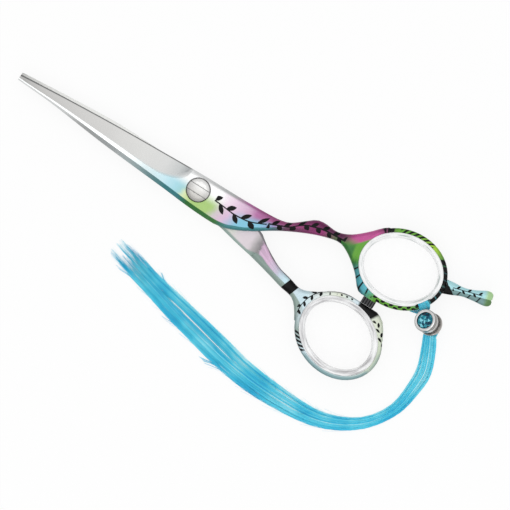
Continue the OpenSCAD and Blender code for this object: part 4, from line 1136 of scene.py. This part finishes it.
def rounded(line, passes=2):
    """Cuts the corners of a line of (point, share) pairs."""
    for _ in range(passes):
        made = [line[0]]
        for (p, a), (q, b) in zip(line, line[1:]):
            made += [(p.lerp(q, 0.25), mix(a, b, 0.25)), (p.lerp(q, 0.75), mix(a, b, 0.75))]
        line = made + [line[-1]]
    return line


# Dress every piece
for node, print_for in (("finger_blade", finger_print), ("thumb_blade", thumb_print)):
    mark_blade_facets(dress(node, print_for(), smooth_angle=50), behind_x=6.0, fine_angle=9.0)
clear_finger = clear_plastic("clear_finger", FINGER_RING, FINGER_TILT, (0.5, 0.74), rgb(190, 200, 197))
clear_thumb = clear_plastic("clear_thumb", THUMB_RING, THUMB_TILT, (0.36, 0.72), rgb(186, 185, 187))
make_insert("finger_ring_insert", FINGER_RING, FINGER_TILT, FINGER_INSERT_W, clear_finger, LOOP_ANGLE % TAU)
make_insert("thumb_ring_insert", THUMB_RING, THUMB_TILT, THUMB_INSERT_W, clear_thumb)
dress("finger_rest", rest_print(), smooth_angle=35)
dress("stop_bumper", rubber(), smooth_angle=30)
make_bead(bead_metal())
dress("charm_crimp", moulded("crimp_metal", rgb(188, 186, 182), 1.0))
make_crystal(crystal_glass())
make_screw(screw_metal())
dress("slip_washer", moulded("slip_plastic", rgb(230, 230, 226)))
dress("bearing_disc", moulded("disc_plastic", rgb(232, 228, 214)))
dress("pivot_bush", moulded("bush_brass", rgb(218, 188, 116), 1.0))
dress("pivot_nut", nut_steel())
fibre = hair_fibre()
make_lock(fibre)
make_loop(fibre)


# Stage: pale floor, soft light and the camera of the photograph

def make_floor():
    """Pale paper, nearly white also in metal and glass, that keeps a soft shadow."""
    size = 2.0
    glow_share = 0.86
    mesh = bpy.data.meshes.new("floor")
    corners = [(-size, -size, 0), (size, -size, 0), (size, size, 0), (-size, size, 0)]
    mesh.from_pydata(corners, [], [(0, 1, 2, 3)])
    floor = link("floor", mesh)
    g = Graph.material("floor_paper")
    path = g.node("ShaderNodeLightPath").outputs
    camera, glossy, through = [path["Is %s Ray" % kind] for kind in ("Camera", "Glossy", "Transmission")]
    seen = g.most(g.most(camera, glossy), through)
    g.set(base_color=(0.93, 0.93, 0.93), roughness=0.9, specular=0.1)
    glow = g.node("ShaderNodeEmission", {"Color": (1.0, 1.0, 1.0), "Strength": 1.0})
    both = {0: seen * glow_share, 1: g.shader.outputs[0], 2: glow.outputs[0]}
    out = next(n for n in g.tree.nodes if n.type == "OUTPUT_MATERIAL")
    g.put(out.inputs[0], g.node("ShaderNodeMixShader", both).outputs[0])
    mesh.materials.append(g.owner)


def make_world():
    """Soft dome, brightest overhead and a little brighter on one side."""
    bpy.context.scene.world = bpy.data.worlds.new("studio")
    g = Graph(bpy.context.scene.world)
    ray = g.node("ShaderNodeTexCoord").outputs["Generated"]
    y, z = [Val(g, output) for output in g.node("ShaderNodeSeparateXYZ", {0: ray}).outputs[1:]]
    grey = [(0.0, 0.40), (0.35, 0.70), (0.7, 0.90), (1.0, 1.0)]
    dome = g.ramp(z, [(height, (level, level, level)) for height, level in grey])
    g.put(g.shader.inputs["Color"], dome)
    g.put(g.shader.inputs["Strength"], y * 0.10 + 1.0)


def add_softbox(name, location, size, power):
    """Square lamp that faces the part."""
    aim = (0.02, 0, 0)
    light = bpy.data.lights.new(name, "AREA")
    light.shape = "SQUARE"
    light.size = size
    light.energy = power
    lamp = link(name, light)
    lamp.location = location
    lamp.rotation_euler = (Vector(aim) - Vector(location)).to_track_quat("-Z", "Y").to_euler()


def make_camera():
    """Straight above, turned so that the blades point to the upper left."""
    turn = radians(32.3)
    centre = Vector((24.5, -7.3, 3.0)) * MM
    width = 151.5 * MM
    distance = 1.0
    sensor = 36.0
    camera = link("camera", bpy.data.cameras.new("camera"))
    camera.data.sensor_width = sensor
    camera.data.lens = sensor * distance / width
    camera.data.clip_end = 10.0
    camera.location = centre + Vector((0, 0, distance))
    camera.rotation_euler = (0, 0, turn)
    bpy.context.scene.camera = camera


make_floor()
make_world()
add_softbox("top_light", (0.02, 0.0, 1.5), size=0.7, power=1.9)
add_softbox("fill_light", (0.4, -0.8, 0.7), size=0.6, power=1.5)
make_camera()
bpy.context.scene.view_settings.view_transform = "Standard"
